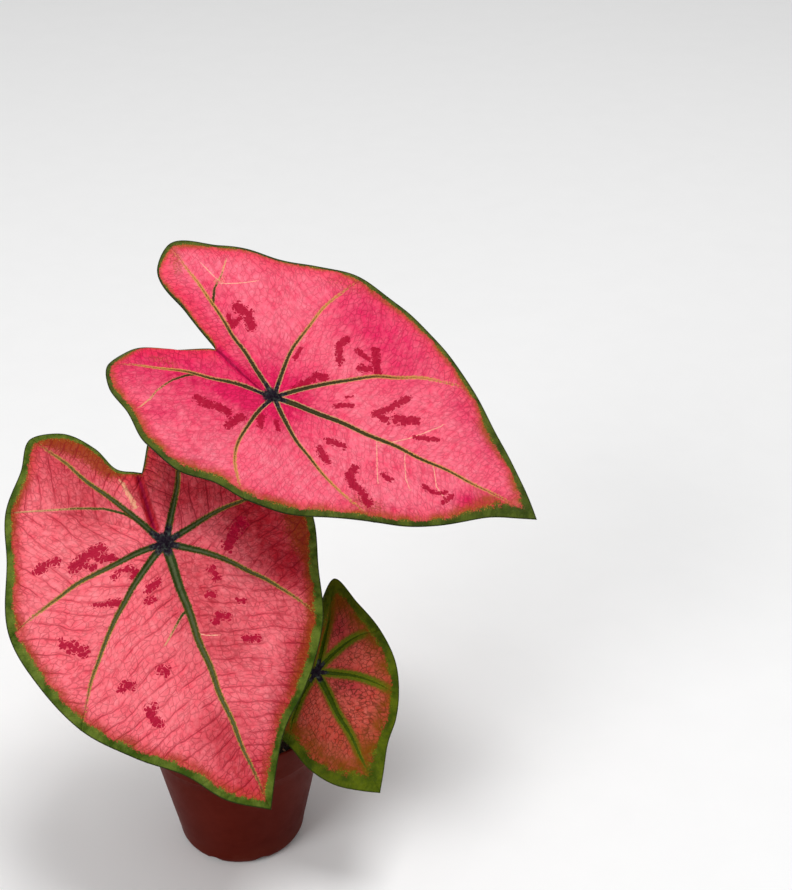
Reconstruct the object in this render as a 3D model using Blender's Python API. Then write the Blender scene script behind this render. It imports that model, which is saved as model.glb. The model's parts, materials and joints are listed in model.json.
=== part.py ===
"""A caladium in a small plastic nursery pot.

Three heart-shaped leaves stand on long stalks, which rise from one tuber under the peat soil.
Units are metres, +Z is up, and the origin is the middle of the pot's underside.
"""

import math
from dataclasses import dataclass
from typing import NamedTuple

import bmesh
import bpy
import numpy as np
from mathutils import Matrix, Vector

MM = 0.001
GAP = 0.3 * MM
MERGE = 0.001 * MM

# Pot
RIM_RADIUS = 51 * MM
POT_HEIGHT = 88 * MM
BAND_HEIGHT = 20 * MM
BAND_STEP = 1.2 * MM
WALL_TOP_RADIUS = 46.5 * MM
WALL_FOOT_RADIUS = 34.6 * MM
CORNER_HEIGHT = 7 * MM
FOOT_RADIUS = 29.5 * MM
WALL = 1.3 * MM
FLOOR = 1.6 * MM
LIP = 0.4 * MM
POT_SIDES = 48
CORNER_STEPS = 4
DRAIN_COUNT = 8
DRAIN_RADIUS = 4.2 * MM
DRAIN_LENGTH = 14 * MM
DRAIN_SIDES = 12

# Soil
SOIL_TOP = 80 * MM
SOIL_LUMP = 1.1 * MM
SOIL_EDGE = SOIL_TOP - 3 * SOIL_LUMP
SOIL_RINGS = 7

# Tuber
TUBER_CENTRE = 49 * MM
TUBER_RADIUS = 17 * MM
TUBER_HALF_HEIGHT = 11 * MM
TUBER_SIDES = 20
TUBER_RINGS = 10

# Stalks
STALK_STEPS = 18
STALK_ROUND = 3
SHEATH_FLARE = 0.35
SHEATH_LENGTH = 0.16
HOLE_GAP = 0.45 * MM
HOLE_STEPS = 7
HOLE_DEEPER = 5 * MM

# Blades
BLADE = 0.75 * MM
EDGE = 0.6 * MM
RIB_HEIGHT = 1.5 * MM
RIB_FULL_WIDTH = 1.9
RIB_FLANK = 0.3 * MM
HUB_HEIGHT = 0.8 * MM
HUB_RADIUS = 5 * MM
HUB_SHARE = 0.06
CURL_START = 0.8


class Ray(NamedTuple):
    """One line of a blade from the stalk's joint to the margin.

    bearing is in degrees from the midrib, positive on the left of a leaf seen from above with
    its tip ahead. reach is its length and bow how far it curves aside, in millimetres. rib is
    the half width of the rib that runs along it, in millimetres, or 0 where there is none.
    """

    bearing: float
    reach: float
    rib: float = 0.0
    bow: float = 0.0


@dataclass(frozen=True)
class Leaf:
    """One leaf. Angles are in degrees, lengths in millimetres and rib widths as in Ray."""

    name: str
    rays: tuple
    sinus: int
    half_width: float
    joint: tuple
    heading: float
    pitch: float
    roll: float
    fold: float
    droop: float
    lobe_droop: float
    puff: float
    wave: float
    waves: int
    curl: float
    spacing: float
    rings: int
    foot: tuple
    stalk_radius: tuple
    lean: tuple
    bend: float


UPPER_LEAF = Leaf(
    name="upper_leaf",
    rays=(
        Ray(1, 148, rib=1.9, bow=2),
        Ray(8, 133),
        Ray(17, 118),
        Ray(29, 104, rib=1.4, bow=8.5),
        Ray(45, 90),
        Ray(62, 84),
        Ray(80, 79, rib=1.3, bow=9),
        Ray(100, 74),
        Ray(117, 78),
        Ray(134, 92),
        Ray(148, 106, rib=1.4, bow=-1),
        Ray(155, 98),
        Ray(160, 66),
        Ray(167, 38),
        Ray(177, 56),
        Ray(186, 79),
        Ray(194, 87, rib=1.4, bow=-4),
        Ray(205, 84),
        Ray(217, 75),
        Ray(234, 73),
        Ray(252, 70),
        Ray(266, 63),
        Ray(283, 69, rib=1.3, bow=-11),
        Ray(307, 73),
        Ray(330, 88, rib=1.4, bow=-6.5),
        Ray(345, 106),
        Ray(356, 126),
    ),
    sinus=13,
    half_width=85,
    joint=(24, 47, 249),
    heading=-18,
    pitch=17,
    roll=25,
    fold=20,
    droop=10,
    lobe_droop=6,
    puff=1.6,
    wave=2.0,
    waves=9,
    curl=2.5,
    spacing=12,
    rings=9,
    foot=(6, 9),
    stalk_radius=(4.4, 2.3),
    lean=(8, 10, 75),
    bend=45,
)

FRONT_LEAF = Leaf(
    name="front_leaf",
    rays=(
        Ray(5, 141, rib=1.9, bow=-2.5),
        Ray(9, 126),
        Ray(16, 110),
        Ray(28, 100),
        Ray(48, 88, rib=1.4, bow=6),
        Ray(66, 79),
        Ray(84, 78),
        Ray(101, 77, rib=1.3, bow=3),
        Ray(122, 77),
        Ray(142, 82),
        Ray(157, 84, rib=1.4, bow=-2.5),
        Ray(168, 66),
        Ray(181, 39),
        Ray(194, 45),
        Ray(198, 62),
        Ray(205, 81),
        Ray(213, 89, rib=1.4),
        Ray(225, 82),
        Ray(241, 81, rib=0.9, bow=-11),
        Ray(258, 78),
        Ray(285, 88, rib=1.3, bow=-5),
        Ray(302, 92),
        Ray(320, 100, rib=1.4, bow=-7),
        Ray(336, 106),
        Ray(349, 115),
        Ray(357, 130),
    ),
    sinus=12,
    half_width=85,
    joint=(-29, -10, 197),
    heading=-65,
    pitch=41,
    roll=7,
    fold=-8,
    droop=10,
    lobe_droop=14,
    puff=2.0,
    wave=2.2,
    waves=8,
    curl=2.0,
    spacing=12,
    rings=9,
    foot=(-9, -3),
    stalk_radius=(4.2, 2.2),
    lean=(-8, 6, 60),
    bend=40,
)

SIDE_LEAF = Leaf(
    name="side_leaf",
    rays=(
        Ray(1, 70, rib=1.2),
        Ray(7, 62),
        Ray(19, 52),
        Ray(34, 48),
        Ray(48, 45, rib=0.9, bow=3),
        Ray(72, 42),
        Ray(97, 41, rib=0.9, bow=4),
        Ray(122, 43),
        Ray(142, 51, rib=0.9, bow=-1),
        Ray(150, 36),
        Ray(176, 17),
        Ray(210, 34),
        Ray(218, 49, rib=0.9, bow=1),
        Ray(238, 42),
        Ray(263, 39, rib=0.9, bow=-4),
        Ray(290, 38),
        Ray(312, 40, rib=0.9, bow=-3),
        Ray(328, 49),
        Ray(342, 58),
        Ray(354, 65),
    ),
    sinus=10,
    half_width=42,
    joint=(45, -16, 120),
    heading=-52,
    pitch=41,
    roll=21,
    fold=-3,
    droop=4,
    lobe_droop=3,
    puff=1.2,
    wave=1.0,
    waves=6,
    curl=1.0,
    spacing=8,
    rings=7,
    foot=(9, -6),
    stalk_radius=(3.0, 1.6),
    lean=(5, 0, 30),
    bend=20,
)

LEAVES = (UPPER_LEAF, FRONT_LEAF, SIDE_LEAF)


def clear_scene():
    """Removes every object that is in the scene."""
    for thing in list(bpy.data.objects):
        bpy.data.objects.remove(thing)


def finish(name, red, green, blue, roughness):
    """Returns a plain coloured material."""
    material = bpy.data.materials.new(name)
    material.use_nodes = True
    shader = material.node_tree.nodes["Principled BSDF"]
    shader.inputs["Base Color"].default_value = (red, green, blue, 1)
    shader.inputs["Roughness"].default_value = roughness
    shader.inputs["Metallic"].default_value = 0
    return material


def add_solid(name, work, material, smooth_angle=40):
    """Adds a bmesh as one named object, smooth up to an angle in degrees, and returns it."""
    mesh = bpy.data.meshes.new(name)
    bmesh.ops.recalc_face_normals(work, faces=work.faces)
    work.to_mesh(mesh)
    work.free()
    mesh.materials.append(material)
    mesh.shade_smooth()
    mesh.set_sharp_from_angle(angle=math.radians(smooth_angle))
    solid = bpy.data.objects.new(name, mesh)
    bpy.context.scene.collection.objects.link(solid)
    return solid


def cut(solid, cutter):
    """Cuts one object from another and keeps the cutter as a hidden guide."""
    cutter.hide_render = True
    cutter.display_type = "WIRE"
    modifier = solid.modifiers.new(cutter.name, "BOOLEAN")
    modifier.operation = "DIFFERENCE"
    modifier.solver = "EXACT"
    modifier.object = cutter


def turned(profile, sides):
    """A bmesh turned about the Z axis from (radius, height) points that start and end on it."""
    work = bmesh.new()
    points = [work.verts.new((radius, 0, height)) for radius, height in profile]
    edges = [work.edges.new(pair) for pair in zip(points, points[1:])]
    bmesh.ops.spin(
        work, geom=points + edges, axis=(0, 0, 1), cent=(0, 0, 0),
        steps=sides, angle=2 * math.pi, use_merge=True,
    )
    bmesh.ops.remove_doubles(work, verts=work.verts, dist=MERGE)
    return work


def corner_arc():
    """The rounded corner from the pot's underside up to its wall, as (radius, height) points."""
    reach = WALL_FOOT_RADIUS - FOOT_RADIUS
    turns = [math.pi / 2 * step / CORNER_STEPS for step in range(CORNER_STEPS + 1)]
    return [
        (FOOT_RADIUS + reach * math.sin(turn), CORNER_HEIGHT * (1 - math.cos(turn)))
        for turn in turns
    ]


def pot_outside():
    """The pot's outer face from its underside up to its rim, as (radius, height) points."""
    band_foot = POT_HEIGHT - BAND_HEIGHT
    return corner_arc() + [
        (WALL_TOP_RADIUS, band_foot - BAND_STEP),
        (WALL_TOP_RADIUS + BAND_STEP, band_foot),
        (RIM_RADIUS, POT_HEIGHT - LIP),
        (RIM_RADIUS - LIP, POT_HEIGHT),
    ]


def pot_inside():
    """The pot's inner face from its floor up to its rim, as (radius, height) points."""
    band_foot = POT_HEIGHT - BAND_HEIGHT
    return [(radius - WALL, height + FLOOR) for radius, height in corner_arc()] + [
        (WALL_TOP_RADIUS - WALL, band_foot + BAND_STEP),
        (WALL_TOP_RADIUS + BAND_STEP - WALL, band_foot + 2 * BAND_STEP),
        (RIM_RADIUS - WALL, POT_HEIGHT),
    ]


def make_pot(material):
    """The nursery pot, with drain slots through the corner of its foot."""
    profile = [(0, 0)] + pot_outside() + pot_inside()[::-1] + [(0, FLOOR)]
    pot = add_solid("pot", turned(profile, POT_SIDES), material, smooth_angle=30)
    for number in range(DRAIN_COUNT):
        turn = Matrix.Rotation(2 * math.pi * (number + 0.5) / DRAIN_COUNT, 4, "Z")
        outward = Matrix.Rotation(math.pi / 2, 4, "Y")
        place = turn @ Matrix.Translation((WALL_FOOT_RADIUS, 0, 0)) @ outward
        work = bmesh.new()
        bmesh.ops.create_cone(
            work, cap_ends=True, segments=DRAIN_SIDES, radius1=DRAIN_RADIUS,
            radius2=DRAIN_RADIUS, depth=DRAIN_LENGTH, matrix=place,
        )
        cut(pot, add_solid(f"drain_cutter_{number}", work, material))
    return pot


def soil_lump(point):
    """How far the soil's top stands above or below its level at a point."""
    x, y = point.x / MM, point.y / MM
    lumps = math.sin(0.31 * x + 1.3) * math.cos(0.27 * y) + 0.7 * math.sin(0.19 * x - 0.36 * y)
    return SOIL_LUMP * lumps


def make_soil(material):
    """The soil that fills the pot to below its rim, with a hollow for the tuber."""
    inside = pot_inside()
    heights = [height for radius, height in inside]
    edge = float(np.interp(SOIL_EDGE, heights, [radius for radius, height in inside])) - GAP
    wall = [(radius - GAP, height + GAP) for radius, height in inside if height < SOIL_EDGE - GAP]
    top = [(edge * (1 - ring / SOIL_RINGS), SOIL_TOP) for ring in range(1, SOIL_RINGS + 1)]
    profile = [(0, FLOOR + GAP)] + wall + [(edge, SOIL_EDGE)] + top
    work = turned(profile, POT_SIDES)
    for vert in work.verts:
        if vert.co.z > SOIL_EDGE + GAP:
            vert.co.z += soil_lump(vert.co)
    soil = add_solid("soil", work, material)
    cut(soil, add_solid("tuber_hollow", tuber_shape(GAP), material))
    return soil


def tuber_shape(extra=0.0):
    """A bmesh of the tuber's flattened ball, grown by extra."""
    wide, tall = TUBER_RADIUS + extra, TUBER_HALF_HEIGHT + extra
    place = Matrix.Translation((0, 0, TUBER_CENTRE)) @ Matrix.Diagonal((wide, wide, tall, 1))
    work = bmesh.new()
    bmesh.ops.create_uvsphere(
        work, u_segments=TUBER_SIDES, v_segments=TUBER_RINGS, radius=1, matrix=place
    )
    return work


def blade_frame(leaf):
    """The blade's own frame: X along its midrib, Y to its left and Z out of its upper face."""
    heading, pitch, roll = (math.radians(turn) for turn in (leaf.heading, leaf.pitch, leaf.roll))
    turn = (
        Matrix.Rotation(heading, 4, "Z")
        @ Matrix.Rotation(pitch, 4, "Y")
        @ Matrix.Rotation(roll, 4, "X")
    )
    return Matrix.Translation(Vector(leaf.joint) * MM) @ turn


def smooth_line(knots, values, at):
    """A smooth curve through values at knots, read at the places in at."""
    slopes = np.gradient(values, knots, axis=0)
    place = np.clip(np.searchsorted(knots, at, side="right") - 1, 0, len(knots) - 2)
    width = (knots[place + 1] - knots[place])[:, None]
    t = (at - knots[place])[:, None] / width
    return (
        (2 * t**3 - 3 * t**2 + 1) * values[place]
        + (t**3 - 2 * t**2 + t) * width * slopes[place]
        + (3 * t**2 - 2 * t**3) * values[place + 1]
        + (t**3 - t**2) * width * slopes[place + 1]
    )


def blade_spokes(leaf):
    """The lines that a blade's mesh follows from its hub to its margin.

    Returns, for each, its margin point, its bow, its rib's half width and its place between
    one rib (0) and the next (1). The margin has corners at the tip and the sinus only.
    """
    rays = list(leaf.rays) + [leaf.rays[0]]
    bearings = np.radians([ray.bearing for ray in rays])
    reaches = np.array([ray.reach for ray in rays]) * MM
    corners = np.stack([np.cos(bearings), np.sin(bearings)], 1) * reaches[:, None]
    steps = np.linalg.norm(np.diff(corners, axis=0), axis=1)
    run = np.concatenate([[0], np.cumsum(steps)])
    along = []
    for start, step in zip(run, steps):
        parts = max(1, round(step / (leaf.spacing * MM)))
        along += [start + step * part / parts for part in range(parts)]
    along = np.array(along)
    before_sinus = along < run[leaf.sinus]
    margin = np.empty((len(along), 2))
    first, second = slice(0, leaf.sinus + 1), slice(leaf.sinus, len(rays))
    margin[before_sinus] = smooth_line(run[first], corners[first], along[before_sinus])
    margin[~before_sinus] = smooth_line(run[second], corners[second], along[~before_sinus])
    anchors = [n for n, ray in enumerate(rays) if ray.rib or n == leaf.sinus]
    bows = np.interp(along, run[anchors], [rays[n].bow * MM for n in anchors])
    places = np.interp(along, run[anchors], range(len(anchors))) % 1
    ribs = np.zeros(len(along))
    for n in anchors[:-1]:
        ribs[np.argmin(abs(along - run[n]))] = rays[n].rib
    return margin, bows, ribs, places


def blade_ring(spokes, share):
    """One ring of a blade, drawn flat at a share of the way from the hub to the margin.

    Each rib gets three points: its crest, and its foot on either side. Returns the ring's
    points, how high its rib stands at each, from 0 to 1, and their places between the ribs.
    """
    margin, bows, ribs, places = spokes
    outward = margin / np.linalg.norm(margin, axis=1, keepdims=True)
    aside = np.stack([-outward[:, 1], outward[:, 0]], 1)
    ring = share * margin + 4 * share * (1 - share) * bows[:, None] * aside
    points, crests, between = [], [], []
    for n, rib in enumerate(ribs):
        here = ring[n]
        if rib:
            half = rib * MM * (1 - 0.7 * share) + RIB_FLANK
            sides = [ring[n - 1] - here, ring[(n + 1) % len(ring)] - here]
            feet = [here + way * min(0.45, half / np.linalg.norm(way)) for way in sides]
            points += [feet[0], here, feet[1]]
            crests += [0, rib / RIB_FULL_WIDTH, 0]
            between += [0, 0, 0]
        else:
            points.append(here)
            crests.append(0)
            between.append(places[n])
    return np.array(points), np.array(crests), np.array(between)


def blade_height(leaf, flat, share, between):
    """How far a blade's upper face stands above the blade's own plane, at flat points."""
    ahead, left = flat[:, 0] / MM, flat[:, 1] / MM
    soft = 0.45 * leaf.half_width
    full_fold = math.hypot(1, leaf.half_width / soft) - 1
    fold = leaf.fold * (np.hypot(1, left / soft) - 1) / full_fold
    droop = np.where(ahead > 0, leaf.droop, leaf.lobe_droop) * (ahead / leaf.rays[0].reach) ** 2
    wave = leaf.wave * share**3 * np.sin(leaf.waves * np.arctan2(left, ahead) + 1)
    curl = leaf.curl * (max(0, share - CURL_START) / (1 - CURL_START)) ** 2
    puff = leaf.puff * np.sin(math.pi * between) * math.sin(math.pi * share**0.8)
    return (fold - droop + wave - curl + puff) * MM


def blade_thickness(flat, share, crests):
    """The blade's thickness at flat points, with its ribs and hub raised on the underside."""
    hub = np.exp(-(np.linalg.norm(flat, axis=1) / HUB_RADIUS) ** 2)
    ribs = RIB_HEIGHT * crests * (1 - share) ** 0.8
    return BLADE + (EDGE - BLADE) * share**2 + HUB_HEIGHT * hub + ribs


def make_blade(leaf, material):
    """A leaf's blade: its waved upper face in triangles, extruded down to its underside."""
    work = bmesh.new()
    thickness = work.verts.layers.float.new("thickness")
    hub = work.verts.new((0, 0, 0))
    hub[thickness] = BLADE + HUB_HEIGHT + RIB_HEIGHT
    spokes = blade_spokes(leaf)
    rings = []
    for number in range(leaf.rings + 1):
        share = HUB_SHARE + (1 - HUB_SHARE) * number / leaf.rings
        flat, crests, between = blade_ring(spokes, share)
        height = blade_height(leaf, flat, share, between)
        thick = blade_thickness(flat, share, crests)
        rings.append([work.verts.new((*point, level)) for point, level in zip(flat, height)])
        for vert, value in zip(rings[-1], thick):
            vert[thickness] = value
    for side in range(len(rings[0])):
        after = (side + 1) % len(rings[0])
        work.faces.new((hub, rings[0][side], rings[0][after]))
        for inner, outer in zip(rings, rings[1:]):
            work.faces.new((inner[side], outer[side], outer[after]))
            work.faces.new((inner[side], outer[after], inner[after]))
    work.normal_update()
    down = work.verts.layers.float_vector.new("down")
    for vert in work.verts:
        vert[down] = -vert.normal * vert[thickness]
    copied = bmesh.ops.extrude_face_region(work, geom=work.faces[:])["geom"]
    for vert in copied:
        if isinstance(vert, bmesh.types.BMVert):
            vert.co += vert[down]
    work.transform(blade_frame(leaf))
    return add_solid(f"{leaf.name}_blade", work, material, smooth_angle=60)


def stalk_points(leaf):
    """The stalk's middle line and radii, from the tuber to just under the blade."""
    low, high = (radius * MM for radius in leaf.stalk_radius)
    near = math.hypot(*leaf.foot) * MM - low * (1 + SHEATH_FLARE)
    crown = TUBER_CENTRE + TUBER_HALF_HEIGHT * math.sqrt(1 - (near / TUBER_RADIUS) ** 2)
    foot = Vector((leaf.foot[0] * MM, leaf.foot[1] * MM, crown + GAP))
    frame = blade_frame(leaf)
    top = frame @ Vector((0, 0, -BLADE - HUB_HEIGHT - RIB_HEIGHT - GAP))
    handle = frame @ Vector((0, 0, -leaf.bend * MM))
    controls = foot, foot + Vector(leaf.lean) * MM, handle, top
    points = []
    for step in range(STALK_STEPS + 1):
        t = step / STALK_STEPS
        shares = (1 - t) ** 3, 3 * t * (1 - t) ** 2, 3 * t**2 * (1 - t), t**3
        centre = sum((point * share for point, share in zip(controls, shares)), Vector())
        sheath = 1 + SHEATH_FLARE * math.exp(-((t / SHEATH_LENGTH) ** 2))
        points.append((centre, (low + (high - low) * t) * sheath))
    return points


def add_tube(name, points, material):
    """Adds a curve object that follows (centre, radius) points and has flat ends."""
    curve = bpy.data.curves.new(name, "CURVE")
    curve.dimensions = "3D"
    curve.bevel_depth = MM
    curve.bevel_resolution = STALK_ROUND
    curve.use_fill_caps = True
    spline = curve.splines.new("POLY")
    spline.points.add(len(points) - 1)
    for place, (centre, radius) in zip(spline.points, points):
        place.co = (*centre, 1)
        place.radius = radius / MM
    curve.materials.append(material)
    tube = bpy.data.objects.new(name, curve)
    bpy.context.scene.collection.objects.link(tube)
    return tube


def make_hole(leaf, soil, material):
    """Cuts the plain hole in the soil that a leaf's stalk stands in."""
    points = [(centre, radius + HOLE_GAP) for centre, radius in stalk_points(leaf)[:HOLE_STEPS]]
    lowest = points[0][0] - Vector((0, 0, HOLE_DEEPER))
    tube = add_tube("hole_tube", [(lowest, points[0][1])] + points, material)
    bpy.context.view_layer.update()
    shaped = tube.evaluated_get(bpy.context.evaluated_depsgraph_get())
    mesh = bpy.data.meshes.new_from_object(shaped)
    bpy.data.objects.remove(tube)
    hole = bpy.data.objects.new(f"{leaf.name}_hole", mesh)
    bpy.context.scene.collection.objects.link(hole)
    cut(soil, hole)


def main():
    """Builds the potted plant."""
    clear_scene()
    plastic = finish("pot_plastic", 0.16, 0.032, 0.022, 0.45)
    peat = finish("peat_soil", 0.012, 0.008, 0.006, 0.95)
    skin = finish("tuber_skin", 0.16, 0.09, 0.045, 0.85)
    green = finish("stalk_green", 0.09, 0.11, 0.03, 0.5)
    pink = finish("blade_pink", 0.8, 0.09, 0.15, 0.45)
    make_pot(plastic)
    soil = make_soil(peat)
    add_solid("tuber", tuber_shape(), skin)
    for leaf in LEAVES:
        add_tube(f"{leaf.name}_stalk", stalk_points(leaf), green)
        make_hole(leaf, soil, peat)
        make_blade(leaf, pink)


main()
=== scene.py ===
"""A potted caladium, dressed around its CAD model.

Three pink heart-shaped leaves with green margins stand on long stalks in a small nursery pot.
Leaf lay-outs are in millimetres on the blade's own plane: a runs from the stalk's joint to the
tip, and b to the left of a leaf seen from above. Everything else is in metres, +Z up, unless its
class says millimetres.
"""

import json
import logging
import math
from dataclasses import dataclass
from enum import Enum
from typing import Any, Callable, NamedTuple, Optional, Union

import bpy
import numpy as np
from mathutils import Matrix, Vector

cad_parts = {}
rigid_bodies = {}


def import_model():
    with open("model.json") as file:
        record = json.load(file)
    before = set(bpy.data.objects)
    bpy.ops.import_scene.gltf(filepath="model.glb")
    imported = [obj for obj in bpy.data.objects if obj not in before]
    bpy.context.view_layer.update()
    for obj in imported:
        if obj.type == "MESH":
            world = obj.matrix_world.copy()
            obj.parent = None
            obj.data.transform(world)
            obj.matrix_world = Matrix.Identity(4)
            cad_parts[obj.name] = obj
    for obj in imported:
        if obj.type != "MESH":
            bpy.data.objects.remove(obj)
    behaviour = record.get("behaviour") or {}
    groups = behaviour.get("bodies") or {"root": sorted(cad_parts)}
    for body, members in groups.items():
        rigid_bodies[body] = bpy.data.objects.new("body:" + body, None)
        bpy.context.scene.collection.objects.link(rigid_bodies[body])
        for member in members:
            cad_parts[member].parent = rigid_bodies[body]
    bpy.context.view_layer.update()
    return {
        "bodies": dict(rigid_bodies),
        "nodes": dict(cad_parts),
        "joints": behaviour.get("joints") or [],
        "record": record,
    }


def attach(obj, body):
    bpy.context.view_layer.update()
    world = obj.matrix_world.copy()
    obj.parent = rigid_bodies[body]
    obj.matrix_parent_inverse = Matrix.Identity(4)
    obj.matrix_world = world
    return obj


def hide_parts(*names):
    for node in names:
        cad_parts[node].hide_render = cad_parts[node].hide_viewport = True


LOG = logging.getLogger("caladium")
MM = 0.001
BODY = "root"
SEED = 20
MERGE = 0.000002

Points = tuple[tuple[float, float], ...]
Outline = list[tuple[float, float]]
Colour = tuple[float, float, float]
Piece = bpy.types.Object
Socket = bpy.types.NodeSocket


class Slot(Enum):
    """The record's material slots."""

    POT = "pot_plastic"
    PEAT = "peat_soil"
    TUBER = "tuber_skin"
    STALK = "stalk"
    LARGE_BLADE = "large_blade"
    SMALL_BLADE = "small_blade"


class Blend(Enum):
    """How a map from one range to another runs between its ends."""

    STRAIGHT = "LINEAR"
    SOFT = "SMOOTHSTEP"


# Leaf lay-outs


class Ray(NamedTuple):
    """A line from the stalk's joint to the margin: degrees from the midrib, then millimetres."""

    bearing: float
    reach: float
    rib: float = 0.0
    bow: float = 0.0


class Stroke(NamedTuple):
    """A soft-edged mark along a line on the blade's plane."""

    points: Points
    half: float
    strength: float = 1.0


@dataclass(frozen=True)
class LeafShape:
    """One leaf's form and place, close to its CAD solid. Angles are in degrees."""

    name: str
    rays: tuple[Ray, ...]
    sinus: int
    half_width: float
    joint: tuple[float, float, float]
    heading: float
    pitch: float
    roll: float
    fold: float
    droop: float
    lobe_droop: float
    puff: float
    wave: float
    waves: int
    curl: float
    foot: tuple[float, float]
    stalk_radius: tuple[float, float]
    lean: tuple[float, float, float]
    bend: float

    def frame(self) -> Matrix:
        """The blade's own frame: X along its midrib, Y to its left and Z out of its upper face."""
        turns = zip((self.heading, self.pitch, self.roll), "ZYX")
        heading, pitch, roll = (Matrix.Rotation(math.radians(angle), 4, axis) for angle, axis in turns)
        return Matrix.Translation(Vector(self.joint) * MM) @ heading @ pitch @ roll


@dataclass(frozen=True)
class LeafMarks:
    """The marks of one blade.

    border gives the green margin's width at bearings from the midrib. flush is deeper colour, and on the
    front leaf partly painted shade where the upper leaf's shadow and the lobe's shade fall;
    olive a browned patch, cream a painted whitish highlight streak beside the crease, and blotches
    the crimson spots. branches are side veins in the ribs' colours, and veinlets are pale ones.
    branch_bearings name the rays whose rib is a branch.
    """

    border: Points
    blotches: tuple[Stroke, ...] = ()
    branches: tuple[Points, ...] = ()
    veinlets: tuple[Points, ...] = ()
    flush: tuple[Stroke, ...] = ()
    olive: tuple[Stroke, ...] = ()
    painted_highlight: tuple[Stroke, ...] = ()
    crease: Points = ((-5, 0), (-30, 0))
    crease_depth: float = 1.0
    branch_bearings: tuple[float, ...] = ()


UPPER_SHAPE = LeafShape(
    name="upper_leaf",
    rays=(
        Ray(1, 148, 1.9, 2), Ray(8, 133), Ray(17, 118), Ray(29, 104, 1.4, 8.5), Ray(45, 90),
        Ray(62, 84), Ray(80, 79, 1.3, 9), Ray(100, 77), Ray(117, 78), Ray(134, 92),
        Ray(148, 106, 1.4, -1), Ray(155, 98), Ray(159, 68), Ray(163.5, 41.5), Ray(175, 57.5),
        Ray(184, 80), Ray(194, 87, 1.4, -4), Ray(205, 84), Ray(217, 75), Ray(234, 73),
        Ray(252, 70), Ray(266, 63), Ray(283, 69, 1.3, -11), Ray(307, 73), Ray(330, 88, 1.4, -6.5),
        Ray(345, 106), Ray(356, 126),
    ),
    sinus=13, half_width=85, joint=(24, 47, 249), heading=-18, pitch=17, roll=25, fold=20,
    droop=10, lobe_droop=6, puff=1.6, wave=2.0, waves=9, curl=2.5, foot=(6, 9),
    stalk_radius=(4.4, 2.3), lean=(8, 10, 75), bend=45,
)
FRONT_SHAPE = LeafShape(
    name="front_leaf",
    rays=(
        Ray(5, 141, 1.9, -2.5), Ray(9, 126), Ray(16, 110), Ray(28, 100), Ray(48, 88, 1.4, 6),
        Ray(66, 79), Ray(84, 78), Ray(101, 77, 1.3, 3), Ray(122, 77), Ray(142, 82),
        Ray(157, 84, 1.4, -2.5), Ray(168, 66), Ray(181, 39), Ray(194, 45), Ray(198, 62),
        Ray(205, 81), Ray(213, 89, 1.4), Ray(225, 82), Ray(241, 81, 1.4, -5), Ray(258, 78),
        Ray(285, 88, 1.3, -5), Ray(302, 92), Ray(320, 100, 1.4, -7), Ray(336, 106),
        Ray(349, 115), Ray(357, 130),
    ),
    sinus=12, half_width=85, joint=(-29, -10, 197), heading=-65, pitch=41, roll=7, fold=-8,
    droop=10, lobe_droop=14, puff=2.0, wave=2.2, waves=8, curl=2.0, foot=(-9, -3),
    stalk_radius=(4.2, 2.2), lean=(-8, 6, 60), bend=40,
)
SIDE_SHAPE = LeafShape(
    name="side_leaf",
    rays=(
        Ray(1, 70, 1.2), Ray(7, 62), Ray(19, 52), Ray(34, 48), Ray(48, 45, 0.9, 3), Ray(72, 42),
        Ray(97, 41, 0.9, 4), Ray(122, 43), Ray(142, 51, 0.9, -1), Ray(150, 36), Ray(176, 17),
        Ray(210, 34), Ray(218, 49, 0.9, 1), Ray(238, 42), Ray(263, 39, 0.9, -4), Ray(290, 38),
        Ray(312, 40, 0.9, -3), Ray(328, 49), Ray(342, 58), Ray(354, 65),
    ),
    sinus=10, half_width=42, joint=(45, -16, 120), heading=-52, pitch=41, roll=21, fold=-3,
    droop=4, lobe_droop=3, puff=1.2, wave=1.0, waves=6, curl=1.0, foot=(9, -6),
    stalk_radius=(3.0, 1.6), lean=(5, 0, 30), bend=20,
)

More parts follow.
